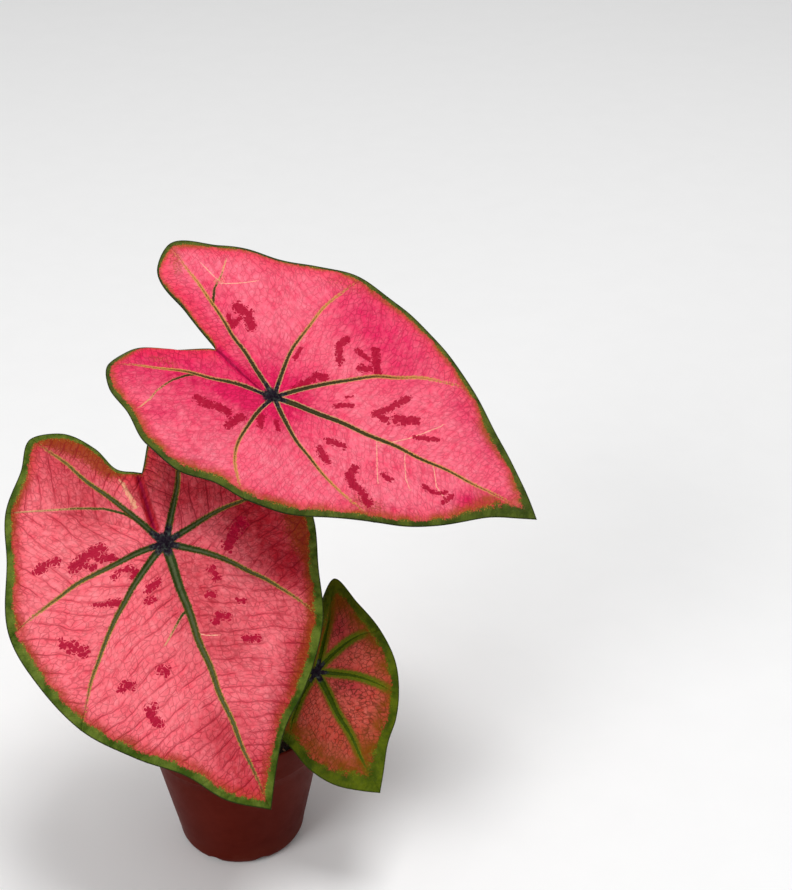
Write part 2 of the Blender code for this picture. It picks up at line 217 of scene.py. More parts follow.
UPPER_MARKS = LeafMarks(
    border=(
        (0, 7.4), (4, 4.1), (9, 2.8), (13, 4.8), (18, 4.2), (23, 2.4), (45, 2.1), (70, 2.8),
        (90, 1.5), (130, 1.3), (148, 2.9), (156, 1.1), (163.5, 0.7), (177, 0.8), (191, 2.5), (205,
        2.5), (217, 2.9), (250, 3.7),
        (300, 3.7), (330, 3.3), (350, 3), (358, 4.9),
    ),
    blotches=(
        Stroke(((-40, 37.5), (-33, 36), (-27.5, 30)), 1.9),
        Stroke(((-42, 31), (-37, 27), (-35.5, 32)), 1.1),
        Stroke(((0, 24.5), (0.5, 30)), 1.0),
        Stroke(((7.5, 8.5), (11, 13.5), (14.5, 20.5), (19, 21)), 1.7),
        Stroke(((-33.5, -21), (-28.5, -21.5), (-22.5, -20.5), (-16.5, -21)), 2.0),
        Stroke(((-12.5, -28.5), (-9, -19.5)), 1.7), Stroke(((-0.5, -14.5), (1.5, -20)), 1.6),
        Stroke(((7.5, -13.5), (10.5, -18)), 1.0), Stroke(((19.5, 44.5), (18, 39), (22, 32)), 1.6),
        Stroke(((27.5, 41.5), (34.5, 39.5)), 1.0), Stroke(((32.5, 33.5), (37.5, 35.5)), 1.3),
        Stroke(((36, 45), (41.5, 35.5)), 1.8), Stroke(((33, 16), (36, 17.5)), 0.7),
        Stroke(((30, 9), (38, 13)), 1.0), Stroke(((50, 14.5), (55, 19), (61.5, 29.5)), 1.6),
        Stroke(((50.5, 14), (57.5, 13.5)), 1.3), Stroke(((61, 16), (71.5, 21)), 2.0),
        Stroke(((73.5, 12), (84.5, 16)), 1.1), Stroke(((36, -11.5), (44, -10.5)), 1.5),
        Stroke(((34, -18.5), (41, -23.5)), 1.6),
        Stroke(((54.5, -19.5), (53.5, -25.5), (58, -29.5), (62.5, -30.5), (69, -36.5)), 1.8),
        Stroke(((68.5, -15.5), (72.5, -16.5)), 1.3), Stroke(((89, -11.5), (95.5, -11.5)), 1.1),
        Stroke(((97.5, -11), (100.5, -8.5)), 0.8), Stroke(((102, -13.5), (103.5, -9)), 1.2),
    ),
    branches=(
        ((-52.5, 34.5), (-53.5, 37), (-55.5, 42), (-55.5, 50), (-57, 58)),
        ((-42.5, -7), (-46, -10), (-50, -15.5), (-52, -21), (-53.5, -27), (-54, -33), (-56, -39)),
    ),
    veinlets=(
        ((-53.5, 46), (-46, 48.5), (-37, 53)),
        ((-68, 52), (-57.5, 47.5)), ((60, 1), (64, 4), (72, 10.5), (77, 16), (84, 24.5)),
        ((57.5, 1), (59, -2.5), (64.5, -14.5), (67.5, -20.5)),
        ((73.5, 1), (74.5, -2), (79.5, -12), (83, -15.5)),
        ((89, 2), (90, 0.5), (95, -8), (102.5, -12.5)),
    ),
    flush=(
        Stroke(((-39, 12), (-22, 5.5), (-5, 0)), 2.2, 1.0), Stroke(((-48, -38), (-41, -36)), 5, 0.45),
        Stroke(((-4, 0), (2, 0)), 19, 0.85),
        Stroke(((-24, -7), (-8, -8)), 9, 0.9), Stroke(((0, 16), (10, 20)), 10, 0.3),
        Stroke(((-70, -5), (-20, -5)), 22, 0.6), Stroke(((-60, 30), (-20, 14)), 12, 0.35),
        Stroke(((20, 60), (50, 50)), 16, 0.55), Stroke(((112, -8), (128, -2)), 6, 0.7),
        Stroke(((85, 40), (110, 25)), 7, 0.3),
    ),
    olive=(
        Stroke(((-78, 44), (-84, 52)), 4, 0.5), Stroke(((-56, -46), (-38, -60)), 4, 0.55),
        Stroke(((64, -38), (74, -36)), 6, 0.5), Stroke(((0, 70), (12, 71)), 5, 0.35),
        Stroke(((-54, -6), (-66, -7)), 3, 0.45),
    ),
    crease=((-38.5, 11.5), (-22.5, 5.5), (-6, 0)),
)
FRONT_MARKS = LeafMarks(
    border=(
        (0, 3.7), (8, 3.8), (30, 4.3), (60, 4.8), (90, 4.2), (120, 2.8), (150, 2.2), (165, 1.2),
        (181, 0.7), (196, 1.8), (205, 2.7), (213, 3.7), (225, 3.7), (241, 3.3), (262, 3.7),
        (290, 4.4), (320, 4.4), (345, 4.1), (357, 3.7),
    ),
    blotches=(
        Stroke(((-5, -64.5), (-6.5, -59), (-6.5, -53.5)), 1.7),
        Stroke(((-0.5, -46.5), (-4, -41), (-6.5, -34.5), (-6, -31)), 2.3),
        Stroke(((-4.5, -35.5), (1, -26)), 1.9), Stroke(((-2, -43.5), (1.5, -37.5)), 1.3),
        Stroke(((9.5, -29), (7.5, -25), (7.5, -20.5), (10.5, -17), (12, -20.5)), 1.3),
        Stroke(((20, -15), (18.5, -9)), 1.6), Stroke(((26.5, -16), (26, -13.5)), 1.5),
        Stroke(((20, -42), (21.5, -36.5)), 0.9), Stroke(((21.5, -34), (23, -30)), 1.7),
        Stroke(((10, 30), (5, 34), (0, 40)), 2.3), Stroke(((19, 18.5), (24.5, 19.5)), 1.7),
        Stroke(((31.5, 13), (32.5, 15.5)), 1.5), Stroke(((38, 26), (39, 29.5)), 1.0),
        Stroke(((45.5, 12.5), (43.5, 15), (44.5, 19)), 1.6),
        Stroke(((57.5, 24), (58.5, 29), (59.5, 30.5)), 1.5),
        Stroke(((34, -61), (37, -57), (41, -53)), 2.2), Stroke(((60, -20), (62, -17.5)), 1.9),
        Stroke(((64, -41), (61.5, -38), (63.5, -35)), 1.5),
        Stroke(((77, -31), (82, -30), (85, -27.5)), 1.7),
        Stroke(((76, -27.5), (79, -28.5)), 1.1),
    ),
    branches=(
        ((35, 2), (37.5, -2.5), (43.5, -8.5), (49, -14)),
        ((-15, -10), (-20, -15), (-25.5, -24), (-30, -37), (-34, -52), (-38, -66)),
    ),
    veinlets=(((48, 2), (50.5, 6), (52, 11)),),
    branch_bearings=(241,),
    # painted highlight: a whitish streak beside the crease
    painted_highlight=(Stroke(((-37, -12), (-30, -10.5), (-22, -9)), 1.3, 0.8),),
    flush=(
        Stroke(((-38, -3), (-25, -3), (-9, -3)), 2.2, 1.1), Stroke(((-38, -8), (-22, -6)), 3, 0.5),
        # painted shade, partly: these two strokes deepen the colour where the upper leaf's shadow falls,
        # over the leaf's own deeper colour there
        Stroke(((-10, 45), (28, 58)), 17, 0.65), Stroke(((28, 58), (52, 52)), 12, 0.35),
        Stroke(((-25, 15), (-20, 60)), 18, 0.55),
        # painted shade, partly: the first stroke deepens the shaded back lobe
        Stroke(((-70, -40), (-32, -32)), 15, 0.42), Stroke(((10, 6), (55, 12)), 15, 0.35),
        Stroke(((60, 52), (100, 30)), 7, 0.4), Stroke(((100, 0), (135, 8)), 13, 0.5),
        # painted shade, partly: deeper colour between the hub and the upper leaf's margin, where that
        # leaf's shadow falls
        Stroke(((-32, 8), (-14, 10)), 9, 0.45),
    ),
    olive=(
        Stroke(((-8, 68), (18, 68)), 7, 0.9), Stroke(((18, 72), (40, 68), (60, 60), (85, 44)), 6, 0.75),
        Stroke(((-73, -38), (-60, -22.5), (-47, -14)), 7, 1.2), Stroke(((-76, -46), (-70, -36)), 4,
        0.5),
        Stroke(((-28, -72), (-40, -66), (-52, -62)), 3.5, 0.7), Stroke(((84, 56), (104, 38)), 3, 0.6),
        Stroke(((-20, -76), (-34, -74)), 5, 0.6), Stroke(((-30, 2), (-36, 8)), 4, 0.35),
        Stroke(((118, 2), (134, 8)), 6, 0.3),
    ),
    crease=((-38, -3), (-26, -3), (-9, -3)),
    crease_depth=1.6,
)
SIDE_MARKS = LeafMarks(
    border=(
        (0, 9), (10, 6), (40, 4.5), (90, 5), (130, 4.5), (145, 6), (165, 3), (176, 2),
        (200, 3), (216, 6), (250, 5), (300, 4.5), (340, 6), (354, 8),
    ),
    flush=(Stroke(((8, 10), (14, 14)), 6, 0.5), Stroke(((-8, 18), (-16, 22)), 5, 0.5)),
    olive=(Stroke(((-30, 28), (-38, 32)), 9, 0.8), Stroke(((50, 14), (56, 4)), 7, 0.5)),
    crease=((-16, 1), (-4, 0)),
    crease_depth=0.5,
)


def smooth_line(knots: np.ndarray, values: np.ndarray, at: np.ndarray) -> np.ndarray:
    """Draws a smooth curve through values.

    Args:
        knots: where the values stand.
        values: one row for each knot.
        at: where the curve is read.

    Returns:
        One row for each place in at.
    """
    slopes = np.gradient(values, knots, axis=0)
    place = np.clip(np.searchsorted(knots, at, side="right") - 1, 0, len(knots) - 2)
    width = (knots[place + 1] - knots[place])[:, None]
    t = (at - knots[place])[:, None] / width
    return (
        (2 * t**3 - 3 * t**2 + 1) * values[place]
        + (t**3 - 2 * t**2 + t) * width * slopes[place]
        + (3 * t**2 - 2 * t**3) * values[place + 1]
        + (t**3 - t**2) * width * slopes[place + 1]
    )


def line_gaps(points: np.ndarray, line: np.ndarray) -> tuple[np.ndarray, np.ndarray, np.ndarray]:
    """Measures flat points against a line of several parts.

    Args:
        points: rows of (a, b).
        line: the line's corners.

    Returns:
        Each point's gap to the line, how far along it lies, from 0 to 1, and its side, -1 or 1.
    """
    starts, steps = line[:-1], np.diff(line, axis=0)
    lengths = np.hypot(steps[:, 0], steps[:, 1])
    run = np.concatenate([[0], np.cumsum(lengths)])
    gaps, shares, sides = [], [], []
    for some in np.array_split(points, max(1, len(points) // 3000)):
        away = some[:, None] - starts
        part = np.clip((away * steps).sum(2) / lengths**2, 0, 1)
        rest = away - part[..., None] * steps
        far = np.hypot(rest[..., 0], rest[..., 1])
        rows, near = np.arange(len(some)), far.argmin(1)
        gaps.append(far[rows, near])
        shares.append((run[near] + part[rows, near] * lengths[near]) / run[-1])
        cross = steps[near, 0] * away[rows, near, 1] - steps[near, 1] * away[rows, near, 0]
        sides.append(np.where(cross < 0, -1.0, 1.0))
    return np.concatenate(gaps), np.concatenate(shares), np.concatenate(sides)


class LeafPlan:
    """A blade's fine lay-out: its mesh points in spokes and rings, and fields for its marks."""

    FIRST_RING = 0.03
    FLANKS = (-1.1, -0.5, 0.0, 0.5, 1.1)
    BLADE, EDGE, HUB_HEIGHT, RIB_HEIGHT = 0.75, 0.6, 0.8, 1.5
    HUB_RADIUS, FLAT_HUB, FULL_RIB, CURL_START, SWAY = 5.0, 14.0, 1.9, 0.8, 0.45
    RIB_DIP, VEIN_DIP, QUILT, RUFFLE = 0.5, 0.22, 0.22, 0.55
    NET_SLOPE, SECTOR_STEP, FAR = 0.35, 40, 99.0

    def __init__(self, shape: LeafShape, marks: LeafMarks, spoke_gap: float, rings: int) -> None:
        """Lays out the blade.

        Args:
            shape: the leaf's form.
            marks: its hand-placed marks.
            spoke_gap: the spokes' spacing along the margin in millimetres.
            rings: how many rings there are outside the hub.
        """
        # marks: the marks listed for it.
        self.shape, self.marks = shape, marks
        share = np.concatenate([[0], np.linspace(self.FIRST_RING, 1, rings)])[None, :, None]
        self._lay_spokes(spoke_gap)
        outward = self.margin / np.linalg.norm(self.margin, axis=1, keepdims=True)
        aside = np.stack([-outward[:, 1], outward[:, 0]], 1) * self.bows[:, None]
        flat = share * self.margin[:, None] + 4 * share * (1 - share) * aside[:, None]
        sway = np.stack([
            np.sin(flat[..., 1] / 5.3 + 1.2 * np.sin(flat[..., 0] / 7)),
            np.sin(flat[..., 0] / 4.9 + 1.4 * np.sin(flat[..., 1] / 6)),
        ], 2)
        flat = flat + self.SWAY * share * (1 - share) * 4 * sway
        self.size = flat.shape[:2]
        self.flat = flat.reshape(-1, 2)
        self.ahead, self.left = flat[..., 0], flat[..., 1]
        self.radius = np.hypot(self.ahead, self.left)
        self.share = np.broadcast_to(share[..., 0], self.size)
        self._measure_ribs(flat)
        self._measure_veins()
        self.crease_gap = self._gaps(marks.crease)

    def _lay_spokes(self, spoke_gap: float) -> None:
        """Spaces the spokes along the margin, with close ones beside each rib and the sinus."""
        shape = self.shape
        rays = list(shape.rays) + [shape.rays[0]]
        bearings = np.radians([ray.bearing for ray in rays])
        reaches = np.array([ray.reach for ray in rays])
        corners = np.stack([np.cos(bearings), np.sin(bearings)], 1) * reaches[:, None]
        steps = np.linalg.norm(np.diff(corners, axis=0), axis=1)
        run = np.concatenate([[0], np.cumsum(steps)])
        anchors = [n for n, ray in enumerate(rays) if ray.rib or n == shape.sinus]
        stops = run[anchors]
        even = np.linspace(0, run[-1], round(run[-1] / spoke_gap) + 1)
        even = even[abs(even[:, None] - stops).min(1) > self.FLANKS[-1] + spoke_gap / 2]
        close = (stops[:, None] + self.FLANKS).ravel()
        along = np.sort(np.concatenate([even, close[(close >= 0) & (close <= run[-1])]]))
        before = along < run[shape.sinus]
        first, second = slice(0, shape.sinus + 1), slice(shape.sinus, len(rays))
        self.margin = np.empty((len(along), 2))
        self.margin[before] = smooth_line(run[first], corners[first], along[before])
        self.margin[~before] = smooth_line(run[second], corners[second], along[~before])
        self.bows = np.interp(along, stops, [rays[n].bow for n in anchors])
        places = np.interp(along, stops, range(len(anchors)))
        self.sector = np.minimum(np.floor(places), len(anchors) - 2)
        self.between = places % 1
        self.along, self.sinus_along = along, run[shape.sinus]
        self.anchor_bearings = np.array([rays[n].bearing for n in anchors])
        self.rib_spokes = [
            (int(np.argmin(abs(along - run[n]))), rays[n].rib) for n in anchors[:-1]
            if rays[n].rib and rays[n].bearing not in self.marks.branch_bearings
        ]

    def _measure_ribs(self, flat: np.ndarray) -> None:
        """Finds each point's nearest rib: the gap to it, its half width and how far out it is."""
        best = np.full(len(self.flat), np.inf)
        found = np.zeros((3, len(self.flat)))
        for spoke, rib in self.rib_spokes:
            gap, out, _ = line_gaps(self.flat, flat[spoke, ::4])
            half = rib * (1 - 0.8 * out)
            nearer = gap - half < best
            best[nearer] = (gap - half)[nearer]
            found[:, nearer] = np.stack([gap, half, out])[:, nearer]
        self.rib_gap, self.rib_half, self.rib_out = found.reshape(3, *self.size)

    def _measure_veins(self) -> None:
        """Finds each point's gaps to the side veins, signed and plain, and its kind.

        The kind is 0 at a veinlet, and runs from 1 at a branch's start to a half at its end.
        """
        found = np.full((3, len(self.flat)), self.FAR)
        found[2] = 0
        for line in self.marks.branches + self.marks.veinlets:
            gap, along, side = line_gaps(self.flat, np.array(line, float))
            kind = (1 - 0.5 * along) * (line in self.marks.branches)
            nearer = gap < found[1]
            found[:, nearer] = np.stack([gap * side, gap, kind])[:, nearer]
        self.veins = found.reshape(3, *self.size)

    def _gaps(self, line: Points) -> np.ndarray:
        """Each point's gap to one line."""
        return line_gaps(self.flat, np.array(line, float))[0].reshape(self.size)

    def strokes(self, strokes: tuple[Stroke, ...], wider: float = 1.0) -> np.ndarray:
        """Lays soft-edged strokes.

        Args:
            strokes: the strokes.
            wider: how many times wider they are drawn.

        Returns:
            Each point's share of them, 1 in the middle of a full one.
        """
        field = np.zeros(self.size)
        for stroke in strokes:
            gap = self._gaps(stroke.points) / (stroke.half * wider)
            field = np.maximum(field, stroke.strength * np.exp(-(gap**2) / 1.45))
        return field

    def edges(self) -> tuple[np.ndarray, np.ndarray, np.ndarray]:
        """Each point's gap to the margin in border widths and in millimetres, and that width."""
        gaps = self._gaps(self.margin[::2])
        bearing = np.degrees(np.arctan2(self.margin[:, 1], self.margin[:, 0])) % 360
        knots, widths = np.array(self.marks.border).T
        width = np.broadcast_to(np.interp(bearing, knots, widths, period=360)[:, None], self.size)
        return gaps / width, gaps, width

    def net(self) -> tuple[np.ndarray, np.ndarray, np.ndarray]:
        """Coordinates for the small veins: across those that leave each rib, along them, sector."""
        first = self.sector.astype(int)
        rib = np.where(self.along < self.sinus_along, first, first + 1)
        turn = np.arctan2(self.left, self.ahead) - np.radians(self.anchor_bearings[rib])[:, None]
        aside = self.radius * abs(np.sin(turn))
        sector = np.broadcast_to(self.sector[:, None] * self.SECTOR_STEP, self.size)
        return self.radius * np.cos(turn) - self.NET_SLOPE * aside, aside, sector

    def height(self) -> np.ndarray:
        """How far the upper face stands above the blade's plane, in millimetres."""
        shape, share, ahead, left = self.shape, self.share, self.ahead, self.left
        soft = 0.45 * shape.half_width
        full = math.hypot(1, shape.half_width / soft) - 1
        fold = shape.fold * (np.hypot(1, left / soft) - 1) / full
        droop = np.where(ahead > 0, shape.droop, shape.lobe_droop)
        droop = droop * (ahead / shape.rays[0].reach) ** 2
        wave = shape.wave * share**3 * np.sin(shape.waves * np.arctan2(left, ahead) + 1)
        curl = shape.curl * (np.maximum(0, share - self.CURL_START) / (1 - self.CURL_START)) ** 2
        puff = np.sin(math.pi * self.between)[:, None] * np.sin(math.pi * share**0.8)
        puff = shape.puff * puff * np.clip(self.radius / self.FLAT_HUB, 0, 1)
        return fold - droop + wave - curl + puff + self.relief()

    def relief(self) -> np.ndarray:
        """The sunken ribs, the crease behind the joint, the quilting and the margin's ruffles."""
        ahead, left = self.ahead, self.left
        ribs = np.exp(-((self.rib_gap / (self.rib_half + 0.3)) ** 2)) * (1 - 0.6 * self.rib_out)
        veins = np.exp(-((self.veins[1] / 0.7) ** 2))
        crease = np.exp(-((self.crease_gap / 1.8) ** 2))
        quilt = np.sin(0.62 * ahead + 1.1 * np.sin(0.23 * left))
        quilt = quilt * np.sin(0.55 * left + 1.3 * np.sin(0.19 * ahead))
        quilt = quilt * np.clip((self.rib_gap - 1) / 5, 0, 1) * (1 - self.share**8)
        turn = self.along[:, None] / 13
        ruffle = np.sin(turn + 2 * np.sin(0.31 * turn)) + 0.5 * np.sin(2.7 * turn)
        raised = self.QUILT * quilt + self.RUFFLE * self.share**9 * ruffle
        return raised - self.RIB_DIP * ribs - self.VEIN_DIP * veins - self.marks.crease_depth * crease

    def thickness(self) -> np.ndarray:
        """The blade's thickness in millimetres, with ribs and hub raised on the underside."""
        hub = self.HUB_HEIGHT * np.exp(-((self.radius / self.HUB_RADIUS) ** 2))
        crest = np.exp(-((self.rib_gap / (self.rib_half * 0.75 + 0.25)) ** 2))
        crest = np.clip(crest * self.rib_half / self.FULL_RIB, 0, 1)
        ribs = self.RIB_HEIGHT * crest * (1 - self.share) ** 0.4
        small = 0.3 * np.exp(-((self.veins[1] / 0.6) ** 2)) * (1 - self.share)
        return self.BLADE + (self.EDGE - self.BLADE) * self.share**2 + hub + ribs + small

    def surface(self) -> np.ndarray:
        """The upper face's points in metres."""
        local = np.stack([self.ahead, self.left, self.height()], 2) * MM
        frame = np.array(self.shape.frame())
        return local @ frame[:3, :3].T + frame[:3, 3]


# Modelling as by hand


def choose(*pieces: Piece) -> None:
    """Selects only the given pieces and makes the first one active."""
    bpy.ops.object.select_all(action="DESELECT")
    for piece in pieces:
        piece.select_set(True)
    bpy.context.view_layer.objects.active = pieces[0]


def primitive(name: str, add: Callable[..., Any], **settings: Any) -> Piece:
    """Adds a primitive, names it and puts its place into its mesh.

    Args:
        name: the piece's name.
        add: the operator that adds it.
        settings: what the operator is told.

    Returns:
        The piece, alone in the selection.
    """
    bpy.ops.object.select_all(action="DESELECT")
    add(**settings)
    piece = bpy.context.object
    piece.name = piece.data.name = name
    choose(piece)
    bpy.ops.object.transform_apply(location=True, rotation=True, scale=True)
    return piece


def edit(piece: Piece, work: Callable[[], Any]) -> None:
    """Runs edit-mode work on a whole piece, all of it selected.

    Args:
        piece: the piece.
        work: what is done to it.
    """
    choose(piece)
    bpy.ops.object.mode_set(mode="EDIT")
    bpy.ops.mesh.select_all(action="SELECT")
    work()
    bpy.ops.object.mode_set(mode="OBJECT")


def laid_grid(name: str, points: np.ndarray) -> Piece:
    """Adds a grid and lays it on a surface.

    Args:
        name: the piece's name.
        points: rows of places in metres.

    Returns:
        The piece, its edges not yet joined.
    """
    rows, columns = points.shape[:2]
    grid = bpy.ops.mesh.primitive_grid_add
    piece = primitive(name, grid, x_subdivisions=columns - 1, y_subdivisions=rows - 1, size=1)
    piece.data.vertices.foreach_set("co", np.ascontiguousarray(points, np.float32).ravel())
    piece.data.update()
    return piece


def store(piece: Piece, name: str, *values: np.ndarray) -> None:
    """Keeps three numbers at each of a mesh's points, for its material.

    Args:
        piece: the piece.
        name: what the material reads them by.
        values: one array for each number, or one of all three.
    """
    rows = np.stack(values, 2) if len(values) > 1 else values[0]
    layer = piece.data.attributes.new(name, "FLOAT_VECTOR", "POINT")
    layer.data.foreach_set("vector", np.ascontiguousarray(rows, np.float32).ravel())


def join_seams() -> None:
    """Merges points that meet. Edit mode."""
    bpy.ops.mesh.remove_doubles(threshold=MERGE)


def choose_open_edges() -> None:
    """Selects only the edges of open ends. Edit mode."""
    bpy.ops.mesh.select_all(action="DESELECT")
    bpy.ops.mesh.select_non_manifold()


def face_out() -> None:
    """Turns all faces outwards. Edit mode."""
    bpy.ops.mesh.select_all(action="SELECT")
    bpy.ops.mesh.normals_make_consistent(inside=False)


def close_up() -> None:
    """Merges seams, fills open ends and turns the faces outwards. Edit mode."""
    join_seams()
    choose_open_edges()
    bpy.ops.mesh.fill_holes(sides=0)
    face_out()


def draw_out(profile: Outline) -> None:
    """Extrudes the selected ring or disc from one point of a profile to the next. Edit mode.

    Args:
        profile: (radius, height) points in millimetres, the first one where the ring stands.
    """
    for (radius, height), (next_radius, next_height) in zip(profile, profile[1:]):
        ratio = next_radius / radius
        bpy.ops.mesh.extrude_region_move()
        bpy.ops.transform.resize(value=(ratio, ratio, 1), center_override=(0, 0, height * MM))
        bpy.ops.transform.translate(value=(0, 0, (next_height - height) * MM))


def straight(start: tuple[float, float], stop: tuple[float, float], steps: int) -> Outline:
    """The points of a straight run in even steps, without its start."""
    (a, b), (c, d) = start, stop
    return [(a + (c - a) * n / steps, b + (d - b) * n / steps) for n in range(1, steps + 1)]


def apply_modifier(piece: Piece, kind: str, **settings: Any) -> None:
    """Adds a modifier and applies it.

    Args:
        piece: the piece.
        kind: the modifier's type.
        settings: its settings.
    """
    choose(piece)
    modifier = piece.modifiers.new(kind.title(), kind)
    for name, value in settings.items():
        setattr(modifier, name, value)
    bpy.ops.object.modifier_apply(modifier=modifier.name)


def smooth(piece: Piece, angle: float) -> None:
    """Shades a piece smooth up to an angle in degrees."""
    choose(piece)
    bpy.ops.object.shade_smooth_by_angle(angle=math.radians(angle))


def joined(pieces: list[Piece], name: str) -> Piece:
    """Joins pieces into one.

    Args:
        pieces: the pieces.
        name: the new piece's name.

    Returns:
        The new piece.
    """
    choose(*pieces)
    bpy.ops.object.join()
    pieces[0].name = pieces[0].data.name = name
    return pieces[0]


def tube(centres: np.ndarray, radii: np.ndarray) -> np.ndarray:
    """Lays rings of points round a middle line.

    Args:
        centres: rows of places in metres.
        radii: a row of radii for each centre, one for each side.

    Returns:
        Rows of rings, each ending where it starts.
    """
    ways = np.gradient(centres, axis=0)
    ways /= np.linalg.norm(ways, axis=1, keepdims=True)
    across = np.cross(ways[0], (0.3, 1.0, 0.2))
    turns = np.linspace(0, 2 * math.pi, radii.shape[1])
    rings = []
    for centre, way, reach in zip(centres, ways, radii):
        across = across - way * (across @ way)
        across /= np.linalg.norm(across)
        other = np.cross(way, across)
        spread = np.cos(turns)[:, None] * across + np.sin(turns)[:, None] * other
        rings.append(centre + reach[:, None] * spread)
    return np.array(rings)


def place(piece: Piece, slot: Slot, *nodes: str) -> None:
    """Puts a finished piece on the plant's body.

    Args:
        piece: the piece.
        slot: its material slot, not used.
        nodes: the CAD nodes it stands for.
    """
    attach(piece, BODY)
    if nodes:
        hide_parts(*nodes)
    LOG.info("%s: %d faces", piece.name, len(piece.data.polygons))


def coat(piece: Piece, *finishes: bpy.types.Material) -> None:
    """Gives a piece its materials, in place of any it has."""
    piece.data.materials.clear()
    for finish in finishes:
        piece.data.materials.append(finish)


# Shader building


class Signal:
    """One output of a shader node, which can be used in plain sums."""

    def __init__(self, graph: "Graph", socket: Socket) -> None:
        """Holds an output and the graph that it belongs to."""
        self.graph, self.socket = graph, socket

    def __getitem__(self, output: Union[int, str]) -> "Signal":
        """Another output of the same node."""
        return Signal(self.graph, self.socket.node.outputs[output])

    def __add__(self, other: "Value") -> "Signal":
        """The sum of both."""
        return self.graph.math("ADD", self, other)

    def __sub__(self, other: "Value") -> "Signal":
        """What is left of it without the other."""
        return self.graph.math("SUBTRACT", self, other)

    def __mul__(self, other: "Value") -> "Signal":
        """The product of both."""
        return self.graph.math("MULTIPLY", self, other)

    def __truediv__(self, other: "Value") -> "Signal":
        """How often the other goes into it."""
        return self.graph.math("DIVIDE", self, other)

    def __abs__(self) -> "Signal":
        """Its size without the sign."""
        return self.graph.math("ABSOLUTE", self)


Value = Union[float, tuple, Signal]


class Graph:
    """Short calls that add nodes to one shader tree and join them."""

    def __init__(self, tree: bpy.types.NodeTree) -> None:
        """Starts on a tree."""
        self.tree = tree

    def feed(self, socket: Socket, value: Value) -> None:
        """Joins an input to a signal, or sets its value.

        Args:
            socket: the input.
            value: a signal, a number, a vector or a colour.
        """
        if isinstance(value, Signal):
            self.tree.links.new(value.socket, socket)
        elif isinstance(value, tuple) and socket.type == "RGBA":
            socket.default_value = (*value, 1)
        else:
            socket.default_value = value

    def add(self, kind: str, inputs: dict[Any, Value], **settings: Any) -> Signal:
        """Adds a node.

        Args:
            kind: the node's type.
            inputs: what feeds its inputs, by name or number.
            settings: its options.

        Returns:
            Its first output, which gives the others by name or number.
        """
        node = self.tree.nodes.new(f"ShaderNode{kind}")
        for name, value in settings.items():
            setattr(node, name, value)
        for key, value in inputs.items():
            self.feed(node.inputs[key], value)
        return Signal(self, node.outputs[0])

    def math(self, operation: str, *values: Value) -> Signal:
        """Works out one number from others."""
        return self.add("Math", dict(enumerate(values)), operation=operation)

    def ramp(self, value: Value, low: Value, high: Value, blend: Blend = Blend.SOFT) -> Signal:
        """Maps a value to 0 at low and 1 at high."""
        inputs = {"Value": value, "From Min": low, "From Max": high}
        return self.add("MapRange", inputs, interpolation_type=blend.value)

    def mix(self, share: Value, low: Value, high: Value) -> Signal:
        """Mixes two colours, with low at share 0 and below, and high at 1 and above."""
        return self.add("Mix", {0: share, 6: low, 7: high}, data_type="RGBA")[2]

    def attribute(self, name: str) -> Signal:
        """Reads what a mesh keeps at its points."""
        return self.add("Attribute", {}, attribute_name=name, attribute_type="GEOMETRY")["Vector"]

    def parts(self, name: str) -> tuple[Signal, Signal, Signal]:
        """Reads what a mesh keeps at its points, as three numbers."""
        first = self.add("SeparateXYZ", {0: self.attribute(name)})
        return first, first[1], first[2]

    def spot(self) -> Signal:
        """A point's place on the object, in metres."""
        return self.add("TexCoord", {})["Object"]

    def length(self, vector: Value) -> Signal:
        """A vector's length."""
        return self.add("VectorMath", {0: vector}, operation="LENGTH")["Value"]

    def noise(self, vector: Value, scale: Value, detail: float = 3, rough: float = 0.55) -> Signal:
        """A cloud of values from 0 to 1, of colours at its second output."""
        inputs = {"Vector": vector, "Scale": scale, "Detail": detail, "Roughness": rough}
        return self.add("TexNoise", inputs)

    def warped(self, vector: Value, cloud: Signal, reach: float) -> Signal:
        """Moves flat coordinates about by a cloud, up to a reach."""
        inputs = {0: cloud[1], 1: (reach, reach, 0), 2: vector}
        return self.add("VectorMath", inputs, operation="MULTIPLY_ADD")

    def stretched(self, vector: Value, *scale: float) -> Signal:
        """Scales flat coordinates along each axis."""
        return self.add("Mapping", {"Vector": vector, "Scale": (*scale, 1)})

    def edge_gaps(self, vector: Value, scale: Value, **inputs: float) -> Signal:
        """The gap to the nearest side of irregular cells."""
        inputs = {"Vector": vector, "Scale": scale, **inputs}
        return self.add("TexVoronoi", inputs, feature="DISTANCE_TO_EDGE")

    def cells(self, vector: Value, scale: Value) -> tuple[Signal, Signal, Signal]:
        """Irregular cells: the gap to their middles, and two numbers by chance for each cell."""
        near = self.add("TexVoronoi", {"Vector": vector, "Scale": scale})
        chances = self.add("SeparateColor", {0: near["Color"]})
        return near, chances, chances[1]

    def group(self, name: str, **inputs: Value) -> Signal:
        """Places a shared group with its own values."""
        return self.add("Group", inputs, node_tree=bpy.data.node_groups[name])

    def bump(self, height: Value, strength: float, distance: float) -> Signal:
        """Turns a height into a normal."""
        inputs = {"Strength": strength, "Distance": distance, "Height": height}
        return self.add("Bump", inputs)


